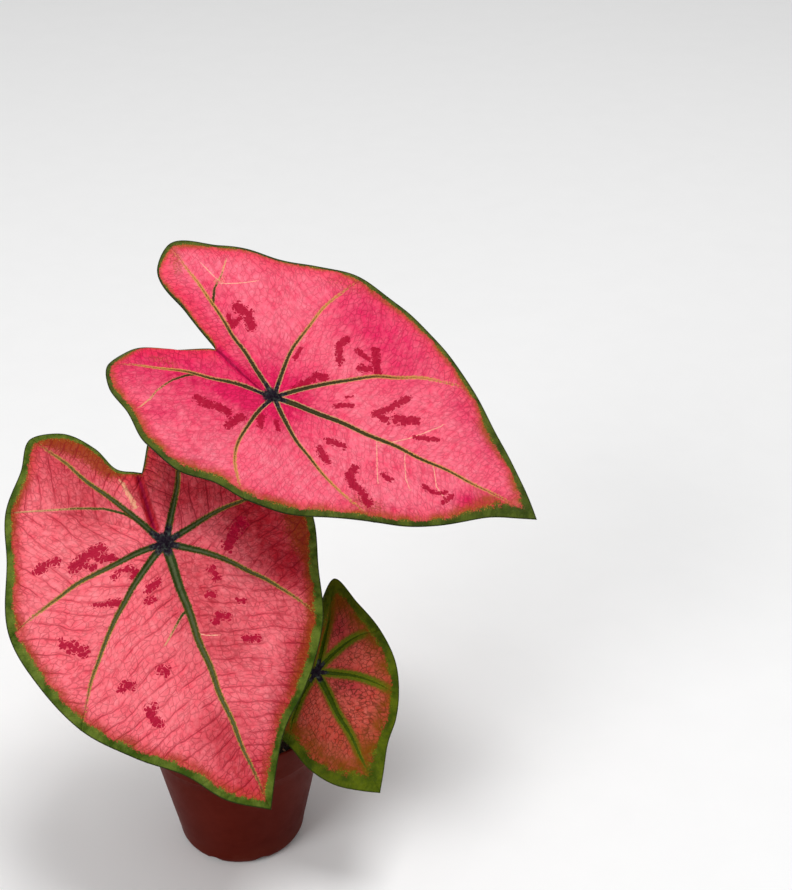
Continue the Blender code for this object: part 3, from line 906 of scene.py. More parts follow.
def make_group(
    name: str, fill: Callable[[Graph, Signal], dict[str, Value]], outputs: str, **inputs: float
) -> None:
    """Builds one shared shader group on a vector and some numbers.

    Args:
        name: its name.
        fill: adds the nodes and returns what feeds each output.
        outputs: the outputs' names.
        inputs: the usual value of each number.
    """
    tree = bpy.data.node_groups.new(name, "ShaderNodeTree")
    tree.interface.new_socket("Vector", in_out="INPUT", socket_type="NodeSocketVector")
    for label, usual in inputs.items():
        socket = tree.interface.new_socket(label, in_out="INPUT", socket_type="NodeSocketFloat")
        socket.default_value = usual
    for label in outputs.split():
        tree.interface.new_socket(label, in_out="OUTPUT", socket_type="NodeSocketFloat")
    graph = Graph(tree)
    start, end = tree.nodes.new("NodeGroupInput"), tree.nodes.new("NodeGroupOutput")
    for label, value in fill(graph, Signal(graph, start.outputs[0])).items():
        graph.feed(end.inputs[label], value)


def fill_mottle(graph: Graph, ins: Signal) -> dict[str, Value]:
    """Uneven colour: a wide cloud with a fine one over it."""
    wide = graph.noise(ins["Vector"], ins["Scale"], 3, 0.5)
    fine = graph.noise(ins["Vector"], ins["Scale"] * 7.0, 4, 0.5)
    return {"Value": graph.ramp(wide * 0.65 + fine * 0.35, 0.3, 0.7, Blend.STRAIGHT)}


def fill_veinlet_net(graph: Graph, ins: Signal) -> dict[str, Value]:
    """The net between the ribs: long cross veins like rungs, two sizes of cells, a painted highlight at
    each cell's middle and painted shade beside the rungs.
    """
    flat, cell = ins["Vector"], ins["Cell"]
    vector = graph.warped(flat, graph.noise(flat, 0.045, 1, 0.5), 8)
    vector = graph.warped(vector, graph.noise(flat, 0.28, 1, 0.5), 1.5)
    across = graph.add("SeparateXYZ", {0: vector})
    lines, rung_shades = [], []
    for rung, low, share in ((2.6, 0.32, 1.0), (1.3, 0.45, 0.6)):
        apart = cell * rung
        gap = graph.math("PINGPONG", across / apart, 0.5) * apart
        cloud = graph.noise(graph.stretched(vector, 0.16 / rung, 0.07), 1.0, 1)
        strength = graph.ramp(cloud, low, low + 0.2) * share * ins["Rungs"]
        # painted shade: a soft dark band beside each rung, for the shading of the tissue that bulges
        # between them; the relief uses it as a dip
        rung_shades.append(graph.ramp(gap, 2.0, 0.2) * strength)
        lines.append(graph.ramp(gap, 0.55, 0.12) * strength)
    base = graph.math("DIVIDE", 1.0, cell)
    for length, scale, width, low, share in ((0.85, 1.0, 0.12, 0.3, 0.66), (1.0, 2.0, 0.15, 0.42, 0.42)):
        gap = graph.edge_gaps(graph.stretched(vector, 1, length), base * scale, Randomness=0.7)
        fade = graph.ramp(graph.noise(flat, 0.22 * scale, 2), low, low + 0.2)
        lines.append(graph.ramp(gap, width, 0.0) * fade * share)
    line = lines[0]
    for other in lines[1:]:
        line = graph.math("MAXIMUM", line, other)
    # painted highlight: lighter in each cell's middle, for light on the puffed tissue; the relief uses
    # it as a rise
    middle, chance, _ = graph.cells(vector, base)
    return {"Line": line, "Cell": chance, "Puff": graph.ramp(middle, 0.75, 0.0), "Band": rung_shades[0]}


def fill_ragged(graph: Graph, ins: Signal) -> dict[str, Value]:
    """A mask where a field passes a share, with an edge of whole small cells and a few holes."""
    field, scale = ins["Field"], graph.math("DIVIDE", 1.0, ins["Cell"])
    vector = graph.warped(ins["Vector"], graph.noise(ins["Vector"], 0.7, 2, 0.5), 0.8)
    chance = graph.cells(vector, scale)[2]
    holes = graph.ramp(graph.edge_gaps(vector, scale * 0.8), 0.12, 0.02) * ins["Gaps"]
    spread = field + (chance - 0.48) * ins["Spread"] - holes
    return {"Mask": graph.ramp(spread, 0.37, 0.42) * graph.ramp(field, 0.03, 0.12)}


def fill_rib_lines(graph: Graph, ins: Signal) -> dict[str, Value]:
    """Masks for the main veins: the core, its middle, and the light line on both sides."""
    gap, half, out = graph.parts("ribs")
    _, edge_gap, border = graph.parts("edges")
    jag = graph.noise(ins["Vector"], 1.0, 4, 0.7) - 0.5
    rough = jag * (out * 0.8 + 1.5) + gap
    core_half = half * ins["Core"] * (out * -0.3 + 1.0)
    inner = graph.ramp(edge_gap, border * 0.6, border * 1.3 + 2.0)
    whole = graph.ramp(jag * 1.4 + half - ins["Fade"], -0.22, 0.18)
    ends = graph.ramp(jag * 1.1 + out, 0.96, 0.76)
    return {
        "Core": graph.ramp(rough - core_half, 0.16, -0.14) * whole * inner,
        "Middle": graph.ramp(rough / core_half, 0.6, 0.1),
        "Line": graph.ramp(rough - core_half - ins["Outline"], 0.2, -0.15) * ends * inner,
        "Out": out,
        "Jag": jag,
    }


def make_groups() -> None:
    """Builds every shared shader group."""
    make_group("mottle", fill_mottle, "Value", Scale=1)
    make_group("veinlet_net", fill_veinlet_net, "Line Cell Puff Band", Cell=3.4, Rungs=1)
    make_group("ragged", fill_ragged, "Mask", Field=0, Cell=1, Spread=0.6, Gaps=0)
    make_group(
        "rib_lines", fill_rib_lines, "Core Middle Line Out Jag", Core=0.7, Outline=0.4, Fade=0.6
    )


# Finishes


class Look(NamedTuple):
    """What a finish feeds its shader: colour, roughness, and a relief with its strength and depth."""

    colour: Value
    roughness: Value
    relief: Optional[Signal] = None
    strength: float = 0.0
    depth: float = 0.0


@dataclass(frozen=True)
class Finish:
    """A named material. shine is how much it reflects."""

    name: str
    shine: float = 0.5

    def look(self, graph: Graph) -> Look:
        """Works out what feeds the shader."""
        raise NotImplementedError

    def material(self) -> bpy.types.Material:
        """Builds the material."""
        material = bpy.data.materials.new(self.name)
        material.use_nodes = True
        inputs = material.node_tree.nodes["Principled BSDF"].inputs
        graph = Graph(material.node_tree)
        look = self.look(graph)
        inputs["Metallic"].default_value = 0
        inputs["Specular IOR Level"].default_value = self.shine
        graph.feed(inputs["Base Color"], look.colour)
        graph.feed(inputs["Roughness"], look.roughness)
        if look.relief:
            graph.feed(inputs["Normal"], graph.bump(look.relief, look.strength, look.depth))
        return material


@dataclass(frozen=True)
class UpperFaceFinish(Finish):
    """The upper face of a blade: pink panels, a dark net, blotches, green border and ribs.

    Sizes are in millimetres. Core sizes are shares of the rib's own width.
    """

    shine: float = 0.07
    light: Colour = (0.99, 0.26, 0.33)
    rose: Colour = (0.93, 0.075, 0.15)
    # deeper pink; on the front leaf also the colour of painted shade
    deep_and_shade: Colour = (0.74, 0.012, 0.1)
    net: Colour = (0.3, 0.003, 0.03)
    net_strength: float = 0.56
    rungs: float = 0.5
    veinlet: Colour = (0.95, 0.5, 0.32)
    blotch: Colour = (0.4, 0.002, 0.03)
    blotch_gaps: float = 0.3
    olive: Colour = (0.34, 0.07, 0.008)
    red: Colour = (0.8, 0.02, 0.06)
    red_edge: float = 0.6
    crease: Colour = (0.27, 0.0, 0.04)
    # the colour of the painted highlight streak beside the crease
    painted_highlight: Colour = (0.78, 0.4, 0.22)
    border: Colour = (0.035, 0.055, 0.006)
    border_light: Colour = (0.085, 0.115, 0.014)
    rim: Colour = (0.016, 0.022, 0.004)
    speck: Colour = (0.62, 0.26, 0.035)
    core_near: Colour = (0.04, 0.03, 0.007)
    core_far: Colour = (0.09, 0.06, 0.01)
    core_middle: Colour = (0.045, 0.042, 0.016)
    line_near: Colour = (0.52, 0.32, 0.14)
    line_far: Colour = (0.62, 0.3, 0.07)
    hub: Colour = (0.012, 0.006, 0.014)
    # the painted highlight colour in spots on the dark hub
    hub_highlight: Colour = (0.06, 0.075, 0.065)
    core: float = 0.78
    outline: float = 0.46
    core_fade: float = 0.7
    brown: float = 0.45
    brown_reach: float = 2.4
    glow: float = 0.0
    cell: float = 2.6
    hub_reach: float = 5.6

    def panels(self, graph: Graph, flat: Signal, jag: Signal, net: Signal) -> Signal:
        """The pink ground with its deeper and browned parts, and the net.

        Args:
            graph: the material's graph.
            flat: places on the blade's plane.
            jag: a fine cloud round zero, for ragged edges.
            net: the net's group.

        Returns:
            The colour.
        """
        _, flush, olive = graph.parts("tints")
        wide = graph.group("mottle", Vector=flat, Scale=0.045)
        close = graph.group("mottle", Vector=flat, Scale=0.24)
        # painted light and shade in the tone: the mottle stands partly for the shading of the puckered
        # blade and partly for random tone, cell middles are painted lighter and bands beside the rungs
        # painted darker
        tone = close * 0.5 + wide * 0.6 - net["Puff"] * 0.25 + net["Band"] * 0.26 + 0.05
        panel = graph.mix(tone, self.light, self.rose)
        # deeper colour along the flush strokes, partly painted shade on the front leaf
        panel = graph.mix(close * flush * 0.6 + net["Cell"] * 0.18 + flush, panel, self.deep_and_shade)
        inward = jag * 6.0 + graph.parts("edges")[1]
        panel = graph.mix(graph.ramp(inward, 12.0, 2.0) * self.red_edge, panel, self.red)
        browned = graph.ramp(jag * 1.6 + olive, 0.2, 0.8) * graph.ramp(olive, 0.0, 0.12)
        panel = graph.mix(browned * 0.9, panel, self.olive)
        crease, painted_highlight, _ = graph.parts("fold")
        panel = graph.mix(graph.ramp(crease + jag, 3.4, 1.4) * 0.8, panel, self.deep_and_shade)
        panel = graph.mix(graph.ramp(crease + jag, 1.3, 0.3) * 0.85, panel, self.crease)
        # painted highlight: the whitish streak beside the crease
        streak = graph.ramp(jag * 2.6 + painted_highlight, 0.35, 0.75) * graph.ramp(painted_highlight, 0.05, 0.2)
        panel = graph.mix(streak * 0.9, panel, self.painted_highlight)
        patch = wide * 0.5 + flush * 0.6 + graph.ramp(inward, 16.0, 4.0) * 0.4 + 0.65
        return graph.mix(net["Line"] * patch * self.net_strength, panel, self.net)

    def side_veins(self, graph: Graph, panel: Signal, jag: Signal) -> Signal:
        """The side veins: thin pale ones, and branches with a core that tapers outwards.

        Args:
            graph: the material's graph.
            panel: the colour below them.
            jag: a fine cloud round zero, for ragged edges.

        Returns:
            The colour with them.
        """
        signed, plain, kind = graph.parts("branches")
        side = abs(signed) + jag * (kind * 0.7 + 1.0)
        near = graph.ramp(plain, 2.5, 1.5)
        width = graph.math("MAXIMUM", kind * 1.3, 0.4)
        pale = graph.ramp(side, width, 0.0) * near * (kind * 0.15 + 0.8)
        panel = graph.mix(pale, panel, graph.mix(kind, self.veinlet, self.line_far))
        half = kind * 1.2 - 0.28
        core = graph.ramp(jag * 1.2 + kind, 0.58, 0.8) * near * graph.ramp(side, half, half * 0.6)
        green = graph.mix(graph.ramp(kind, 0.6, 1.0), self.core_far, self.core_near)
        return graph.mix(core, panel, green)

    def margin(self, graph: Graph, panel: Signal, flat: Signal, jag: Signal) -> Signal:
        """The browned and green border, with light specks along its inner side.

        Args:
            graph: the material's graph.
            panel: the colour below it.
            flat: places on the blade's plane.
            jag: a fine cloud round zero, for ragged edges.

        Returns:
            The colour with it.
        """
        ratio, gap, width = graph.parts("edges")
        cloud = graph.ramp(graph.noise(flat, 0.11, 4, 0.6), 0.36, 0.64)
        ragged = jag * 1.3 - cloud * 0.3 + ratio
        brown = graph.ramp(ragged, self.brown_reach, 0.75) * (cloud * 0.5 + self.brown)
        panel = graph.mix(brown, panel, self.olive)
        green = graph.mix(cloud, self.border, self.border_light)
        panel = graph.mix(graph.ramp(ragged, 1.0, 0.7), panel, green)
        grit = graph.ramp(graph.noise(flat, 1.3, 3, 0.6), 0.55, 0.66)
        band = graph.ramp(abs(gap - width * 0.95 - 0.5), 1.9, 0.3)
        panel = graph.mix(band * grit * (cloud * 0.6 + 0.3), panel, self.speck)
        return graph.mix(graph.ramp(jag * 0.6 + gap, 0.8, 0.2), panel, self.rim)

    def ribs(self, graph: Graph, panel: Signal, flat: Signal, rib: Signal) -> Signal:
        """The main veins and the hub they meet in, with painted highlight spots on the hub.

        Args:
            graph: the material's graph.
            panel: the colour below them.
            flat: places on the blade's plane.
            rib: the ribs' group.

        Returns:
            The colour with them.
        """
        out = graph.ramp(rib["Jag"] * 0.6 + rib["Out"], 0.1, 0.62)
        grit = graph.ramp(graph.noise(flat, 1.6, 3, 0.65), 0.36, 0.56)
        light = graph.mix(out, self.line_near, self.line_far)
        panel = graph.mix(rib["Line"] * (grit * 0.5 + 0.5), panel, light)
        core = graph.mix(out, self.core_near, self.core_far)
        panel = graph.mix(rib["Core"], panel, graph.mix(rib["Middle"], core, self.core_middle))
        aside = {0: flat, 1: (self.hub_reach * 0.4, 0, 0)}
        middle = graph.length(graph.add("VectorMath", aside, operation="ADD"))
        # painted highlight: grey-teal spots of sheen on the hub
        hub_highlight_mask = graph.ramp(graph.noise(flat, 0.55, 3, 0.6), 0.45, 0.7) * graph.ramp(middle, 0.5, 3.5)
        spread = middle + rib["Jag"] * 5.0 - rib["Core"] * 4.5
        hub = graph.ramp(spread, self.hub_reach, self.hub_reach * 0.57)
        return graph.mix(hub, panel, graph.mix(hub_highlight_mask, self.hub, self.hub_highlight))

    def look(self, graph: Graph) -> Look:
        """Lays the panels, then the spots, the border and the ribs over one another."""
        flat = graph.attribute("flat")
        net = graph.group(
            "veinlet_net", Vector=graph.attribute("net"), Cell=self.cell, Rungs=self.rungs
        )
        rib = graph.group(
            "rib_lines", Vector=flat, Core=self.core, Outline=self.outline, Fade=self.core_fade
        )
        fine = graph.noise(flat, 0.8, 4, 0.6)
        jag = graph.noise(flat, 0.9, 4, 0.7) - 0.5
        panel = self.side_veins(graph, self.panels(graph, flat, jag, net), jag)
        field = graph.parts("tints")[0]
        spots = graph.group(
            "ragged", Vector=flat, Field=field, Cell=1.8, Spread=0.42, Gaps=self.blotch_gaps
        )
        panel = graph.mix(spots * 0.95, panel, self.blotch)
        if self.glow:
            glow = graph.ramp(jag * 3.0 + graph.parts("ribs")[0], self.glow, self.glow * 0.3)
            green = graph.mix(graph.ramp(glow, 0.4, 0.95), self.olive, self.border_light)
            panel = graph.mix(glow, panel, green)
        panel = self.ribs(graph, self.margin(graph, panel, flat, jag), flat, rib)
        relief = fine * 0.3 + (net["Puff"] - net["Line"] - net["Band"]) * 0.6 - rib["Core"] * 0.4
        return Look(panel, fine * 0.2 + 0.34, relief, 0.7, 0.0006)


@dataclass(frozen=True)
class UndersideFinish(Finish):
    """The underside of a blade: dull and pale, with lighter raised veins."""

    shine: float = 0.15
    panel: Colour = (0.5, 0.17, 0.16)
    panel_dull: Colour = (0.34, 0.14, 0.1)
    border: Colour = (0.11, 0.14, 0.05)
    vein: Colour = (0.33, 0.3, 0.13)
    hub: Colour = (0.14, 0.1, 0.06)
    blotch: Colour = (0.34, 0.03, 0.045)

    def look(self, graph: Graph) -> Look:
        """Lets the upper face's marks show through, and raises the veins."""
        flat = graph.attribute("flat")
        blotch, flush, _ = graph.parts("tints")
        net = graph.group("veinlet_net", Vector=graph.attribute("net"), Cell=3.3)
        rib = graph.group("rib_lines", Vector=flat, Core=1.0, Outline=0.5)
        mottle = graph.group("mottle", Vector=flat, Scale=0.06)
        spots = graph.group("ragged", Vector=flat, Field=blotch, Cell=1.5, Spread=0.62)
        ragged = (graph.noise(flat, 0.9, 3, 0.6) - 0.5) * 0.8 + graph.parts("edges")[0]
        # the flush strokes, partly painted shade on the front leaf, show through as duller colour
        panel = graph.mix(flush * 0.4 + mottle, self.panel, self.panel_dull)
        for share, colour in (
            (spots * 0.6, self.blotch), (net["Line"] * 0.4, self.vein),
            (graph.ramp(graph.parts("branches")[1], 0.8, 0.2), self.vein),
            (graph.ramp(ragged, 1.5, 0.75), self.border), (rib["Line"], self.vein),
            (graph.ramp(graph.length(flat), 7.0, 3.0), self.hub),
        ):
            panel = graph.mix(share, panel, colour)
        fine = graph.noise(flat, 1.1, 4, 0.6)
        return Look(panel, fine * 0.2 + 0.5, net["Line"] * 0.8 + fine * 0.3, 0.6, 0.0005)


@dataclass(frozen=True)
class StalkFinish(Finish):
    """A fleshy stalk: green with brown streaks along it, and a paler foot."""

    shine: float = 0.25
    green: Colour = (0.12, 0.15, 0.035)
    brown: Colour = (0.11, 0.045, 0.025)
    foot: Colour = (0.42, 0.24, 0.15)

    def look(self, graph: Graph) -> Look:
        """Streaks it along its length."""
        wrap = graph.attribute("wrap")
        streaks = graph.noise(graph.stretched(wrap, 0.9, 0.09), 1.0, 4, 0.6)
        flecks = graph.noise(graph.stretched(wrap, 2.2, 0.5), 1.0, 3, 0.6)
        colour = graph.mix(graph.ramp(flecks * 0.4 + streaks, 0.6, 0.85), self.green, self.brown)
        low = graph.ramp(streaks * 0.08 + graph.parts("wrap")[2], 0.32, 0.08)
        ridges = graph.noise(graph.stretched(wrap, 1.6, 0.03), 1.0, 3, 0.5)
        return Look(graph.mix(low, colour, self.foot), flecks * 0.25 + 0.32, ridges, 0.5, 0.0004)


@dataclass(frozen=True)
class PlasticFinish(Finish):
    """Moulded nursery-pot plastic, a little scuffed and dusty."""

    shine: float = 0.03
    base: Colour = (0.09, 0.0075, 0.003)
    dark: Colour = (0.065, 0.004, 0.001)
    dust: Colour = (0.15, 0.03, 0.018)

    def look(self, graph: Graph) -> Look:
        """Scuffs it, dusts its foot and gives it fine turning rings."""
        spot = graph.spot()
        height = graph.add("SeparateXYZ", {0: spot})[2]
        tone = graph.group("mottle", Vector=spot, Scale=28.0)
        long = graph.add("Mapping", {"Vector": spot, "Scale": (90, 90, 700)})
        scuffs = graph.ramp(graph.noise(long, 1.0, 4, 0.65), 0.6, 0.8)
        colour = graph.mix(scuffs * 0.35, graph.mix(tone, self.base, self.dark), self.dust)
        dusty = graph.ramp(height, 0.018, 0.0) * graph.ramp(tone, 0.2, 0.9)
        rings = graph.math("SINE", height * 9000.0)
        relief = rings * 0.15 + graph.noise(spot, 2600, 2, 0.5)
        return Look(graph.mix(dusty * 0.5, colour, self.dust), tone * 0.16 + 0.36, relief, 0.35, 0.0001)


@dataclass(frozen=True)
class PeatFinish(Finish):
    """Moist peat: near black, with brown crumbs and a few pale bits."""

    shine: float = 0.25
    dark: Colour = (0.008, 0.005, 0.004)
    brown: Colour = (0.055, 0.028, 0.014)
    pale: Colour = (0.28, 0.2, 0.12)
    pale_from: float = 0.78

    def look(self, graph: Graph) -> Look:
        """Colours each crumb by chance."""
        spot = graph.spot()
        tone = graph.group("mottle", Vector=spot, Scale=160.0)
        middle, chance, _ = graph.cells(spot, 620.0)
        colour = graph.mix(tone * chance, self.dark, self.brown)
        colour = graph.mix(graph.ramp(chance, self.pale_from, 1.0), colour, self.pale)
        relief = graph.noise(spot, 1500, 4, 0.7) * 0.6 + middle
        return Look(colour, tone * 0.2 + 0.72, relief, 0.9, 0.001)


@dataclass(frozen=True)
class TuberFinish(Finish):
    """A tuber's corky skin with rings of old leaf scars."""

    shine: float = 0.2
    light: Colour = (0.2, 0.115, 0.06)
    dark: Colour = (0.06, 0.032, 0.018)

    def look(self, graph: Graph) -> Look:
        """Rings it round its upright axis."""
        spot = graph.spot()
        tone = graph.group("mottle", Vector=spot, Scale=120.0)
        inputs = {"Vector": spot, "Scale": 110.0, "Distortion": 3.0, "Detail": 3.0}
        rings = graph.add("TexWave", inputs, bands_direction="Z")[1]
        colour = graph.mix(tone * rings, self.light, self.dark)
        return Look(colour, tone * 0.15 + 0.75, rings + tone, 0.7, 0.0008)


@dataclass(frozen=True)
class FloorFinish(Finish):
    """The studio floor's pale paper."""

    low: Colour = (0.93, 0.93, 0.93)
    high: Colour = (0.96, 0.96, 0.96)

    def look(self, graph: Graph) -> Look:
        """Clouds it a little."""
        return Look(graph.mix(graph.noise(graph.spot(), 30, 3), self.low, self.high), 0.9)


# Sub-assemblies


@dataclass
class Blade:
    """One leaf's blade, replacing its CAD node. Sizes are in millimetres."""

    shape: LeafShape
    marks: LeafMarks
    face: UpperFaceFinish
    underside: UndersideFinish
    slot: Slot
    spoke_gap: float = 1.7
    rings: int = 105
    thickest: float = 3.2
    blotch_spread: float = 1.22
    smooth_angle: float = 50

    def build(self) -> Piece:
        """Lays the upper face, stores its marks and thickens it downwards."""
        plan, marks = LeafPlan(self.shape, self.marks, self.spoke_gap, self.rings), self.marks
        blade = laid_grid(f"{self.shape.name}_lamina", plan.surface())
        zeros = np.zeros(plan.size)
        store(blade, "flat", plan.ahead, plan.left, zeros)
        store(blade, "net", *plan.net())
        store(blade, "ribs", plan.rib_gap, plan.rib_half, plan.rib_out)
        store(blade, "edges", *plan.edges())
        store(blade, "branches", *plan.veins)
        # the crease's gap, and the painted highlight streak
        store(blade, "fold", plan.crease_gap, plan.strokes(marks.painted_highlight), zeros)
        blotches = plan.strokes(marks.blotches, self.blotch_spread)
        store(blade, "tints", blotches, plan.strokes(marks.flush), plan.strokes(marks.olive))
        group = blade.vertex_groups.new(name="thickness")
        for number, weight in enumerate((plan.thickness() / self.thickest).ravel()):
            group.add([number], float(weight), "REPLACE")
        edit(blade, join_seams)
        coat(blade, self.face.material(), self.underside.material())
        apply_modifier(
            blade, "SOLIDIFY", thickness=self.thickest * MM, offset=-1, vertex_group="thickness",
            material_offset=1, material_offset_rim=0, use_rim=True,
        )
        smooth(blade, self.smooth_angle)
        place(blade, self.slot, f"{self.shape.name}_blade")
        return blade


@dataclass
class Stalk:
    """One leaf's stalk, replacing its CAD node."""

    shape: LeafShape
    finish: StalkFinish
    steps: int = 90
    sides: int = 28
    sheath_flare: float = 0.35
    sheath_length: float = 0.16
    groove: float = 0.16
    tuber_centre: float = 49 * MM
    tuber_radius: float = 17.0
    tuber_height: float = 11 * MM
    gap: float = 0.3 * MM
    under_blade: float = 3.05 * MM

    def middle_line(self) -> tuple[np.ndarray, np.ndarray]:
        """The stalk's middle line, and how far along it each point stands, from 0 to 1."""
        shape = self.shape
        near = math.hypot(*shape.foot) - shape.stalk_radius[0] * (1 + self.sheath_flare)
        rise = self.tuber_height * math.sqrt(1 - (near / self.tuber_radius) ** 2)
        foot = Vector((shape.foot[0] * MM, shape.foot[1] * MM, self.tuber_centre + rise + self.gap))
        frame = shape.frame()
        top = frame @ Vector((0, 0, -self.under_blade - self.gap))
        handle = frame @ Vector((0, 0, -shape.bend * MM))
        controls = np.array([foot, foot + Vector(shape.lean) * MM, handle, top])
        t = np.linspace(0, 1, self.steps)
        weights = np.stack([(1 - t) ** 3, 3 * t * (1 - t) ** 2, 3 * t**2 * (1 - t), t**3], 1)
        return weights @ controls, t

    def build(self) -> Piece:
        """Lays a tube on the middle line, with a grooved sheath at its foot."""
        centres, t = self.middle_line()
        low, high = self.shape.stalk_radius
        turns = np.linspace(0, 2 * math.pi, self.sides + 1)
        sheath = np.exp(-((t / self.sheath_length) ** 2))
        radii = (low + (high - low) * t) * (1 + self.sheath_flare * sheath) * MM
        groove = self.groove * np.exp(-(((turns - math.pi) / 0.5) ** 2))
        ridges = 0.012 * np.cos(7 * turns)
        section = 1 + ridges - groove * np.clip(1.3 - 2.6 * t, 0.1, 1)[:, None]
        stalk = laid_grid(f"{self.shape.name}_petiole", tube(centres, radii[:, None] * section))
        steps = np.linalg.norm(np.diff(centres, axis=0), axis=1)
        lengths = np.concatenate([[0], np.cumsum(steps)]) / MM
        fields = np.broadcast_arrays(np.sin(turns) * 5, lengths[:, None], t[:, None])
        store(stalk, "wrap", *fields)
        edit(stalk, close_up)
        coat(stalk, self.finish.material())
        smooth(stalk, 50)
        place(stalk, Slot.STALK, f"{self.shape.name}_stalk")
        return stalk


@dataclass
class Pot:
    """The nursery pot, replacing its CAD node. Radii and heights are in millimetres."""

    finish: PlasticFinish
    rim: float = 51.0
    height: float = 88.0
    band: float = 20.0
    step: float = 1.2
    wall_top: float = 46.5
    wall_foot: float = 34.6
    foot: float = 29.5
    corner: float = 7.0
    wall: float = 1.3
    floor: float = 1.6
    sides: int = 144
    drains: int = 8
    drain_radius: float = 4.2

    def corner_arc(self, steps: int = 8) -> Outline:
        """The rounded corner from the underside up to the wall."""
        reach = self.wall_foot - self.foot
        turns = [math.pi / 2 * n / steps for n in range(steps + 1)]
        return [(self.foot + reach * math.sin(t), self.corner * (1 - math.cos(t))) for t in turns]

    def outside(self) -> Outline:
        """The outer face, from the gate mark under the floor up to the rim."""
        gate = [(1.6, 0.5), (2.4, 0.5), (2.8, 0.0), (12, 0.0)]
        under = gate + [(21.6, 0.0), (22, 0.35), (23.4, 0.35), (23.8, 0.0)]
        low, side = self.height - self.band, self.wall_top + self.step
        start = low - self.step
        wall = straight((self.wall_foot, self.corner), (self.wall_top, start), 10)[:-1]
        band = [
            (self.wall_top - 0.06, start - 0.3), (self.wall_top + 0.25, start + 0.15),
            (side - 0.25, low - 0.35), (side, low), (side + 0.25, low + 1.2),
        ]
        upper = straight((side, low), (self.rim, self.height - 1.2), 5)
        return under + self.corner_arc() + wall + band + upper

    def lip(self) -> Outline:
        """The rounded lip, from the outer face over to the inner one."""
        radius = self.wall / 2
        middle, turns = self.rim - radius, [math.pi * n / 8 for n in range(9)]
        low = self.height - radius
        return [(middle + radius * math.cos(t), low + radius * math.sin(t)) for t in turns]

    def inside(self) -> Outline:
        """The inner face, from the floor's middle up to the lip."""
        low = self.height - self.band
        arc = [(radius - self.wall, height + self.floor) for radius, height in self.corner_arc()]
        wall = straight(arc[-1], (self.wall_top - self.wall, low + self.step), 8)
        step = (self.wall_top + self.step - self.wall, low + 2 * self.step)
        return [(2, self.floor), (15, self.floor)] + arc + wall + [step]

    def build(self) -> Piece:
        """Draws the pot out of a disc, ring by ring, and cuts its drain slots."""
        profile = self.outside() + self.lip() + self.inside()[::-1]
        radius, height = profile[0]
        pot = primitive(
            "nursery_pot", bpy.ops.mesh.primitive_circle_add, vertices=self.sides,
            radius=radius * MM, fill_type="NGON", location=(0, 0, height * MM),
        )

        def turn() -> None:
            """Draws the disc along the profile."""
            draw_out(profile)
            face_out()

        edit(pot, turn)
        cutters = []
        for number in range(self.drains):
            angle = 2 * math.pi * (number + 0.5) / self.drains
            middle = (math.cos(angle) * self.wall_foot * MM, math.sin(angle) * self.wall_foot * MM, 0)
            cutters.append(primitive(
                f"drain_cutter_{number}", bpy.ops.mesh.primitive_cylinder_add, vertices=32,
                radius=self.drain_radius * MM, depth=14 * MM, location=middle,
                rotation=(0, math.pi / 2, angle),
            ))
        cutter = joined(cutters, "drain_cutter")
        apply_modifier(pot, "BOOLEAN", object=cutter, operation="DIFFERENCE", solver="EXACT")
        bpy.data.objects.remove(cutter)
        coat(pot, self.finish.material())
        smooth(pot, 32)
        place(pot, Slot.POT, "pot")
        return pot


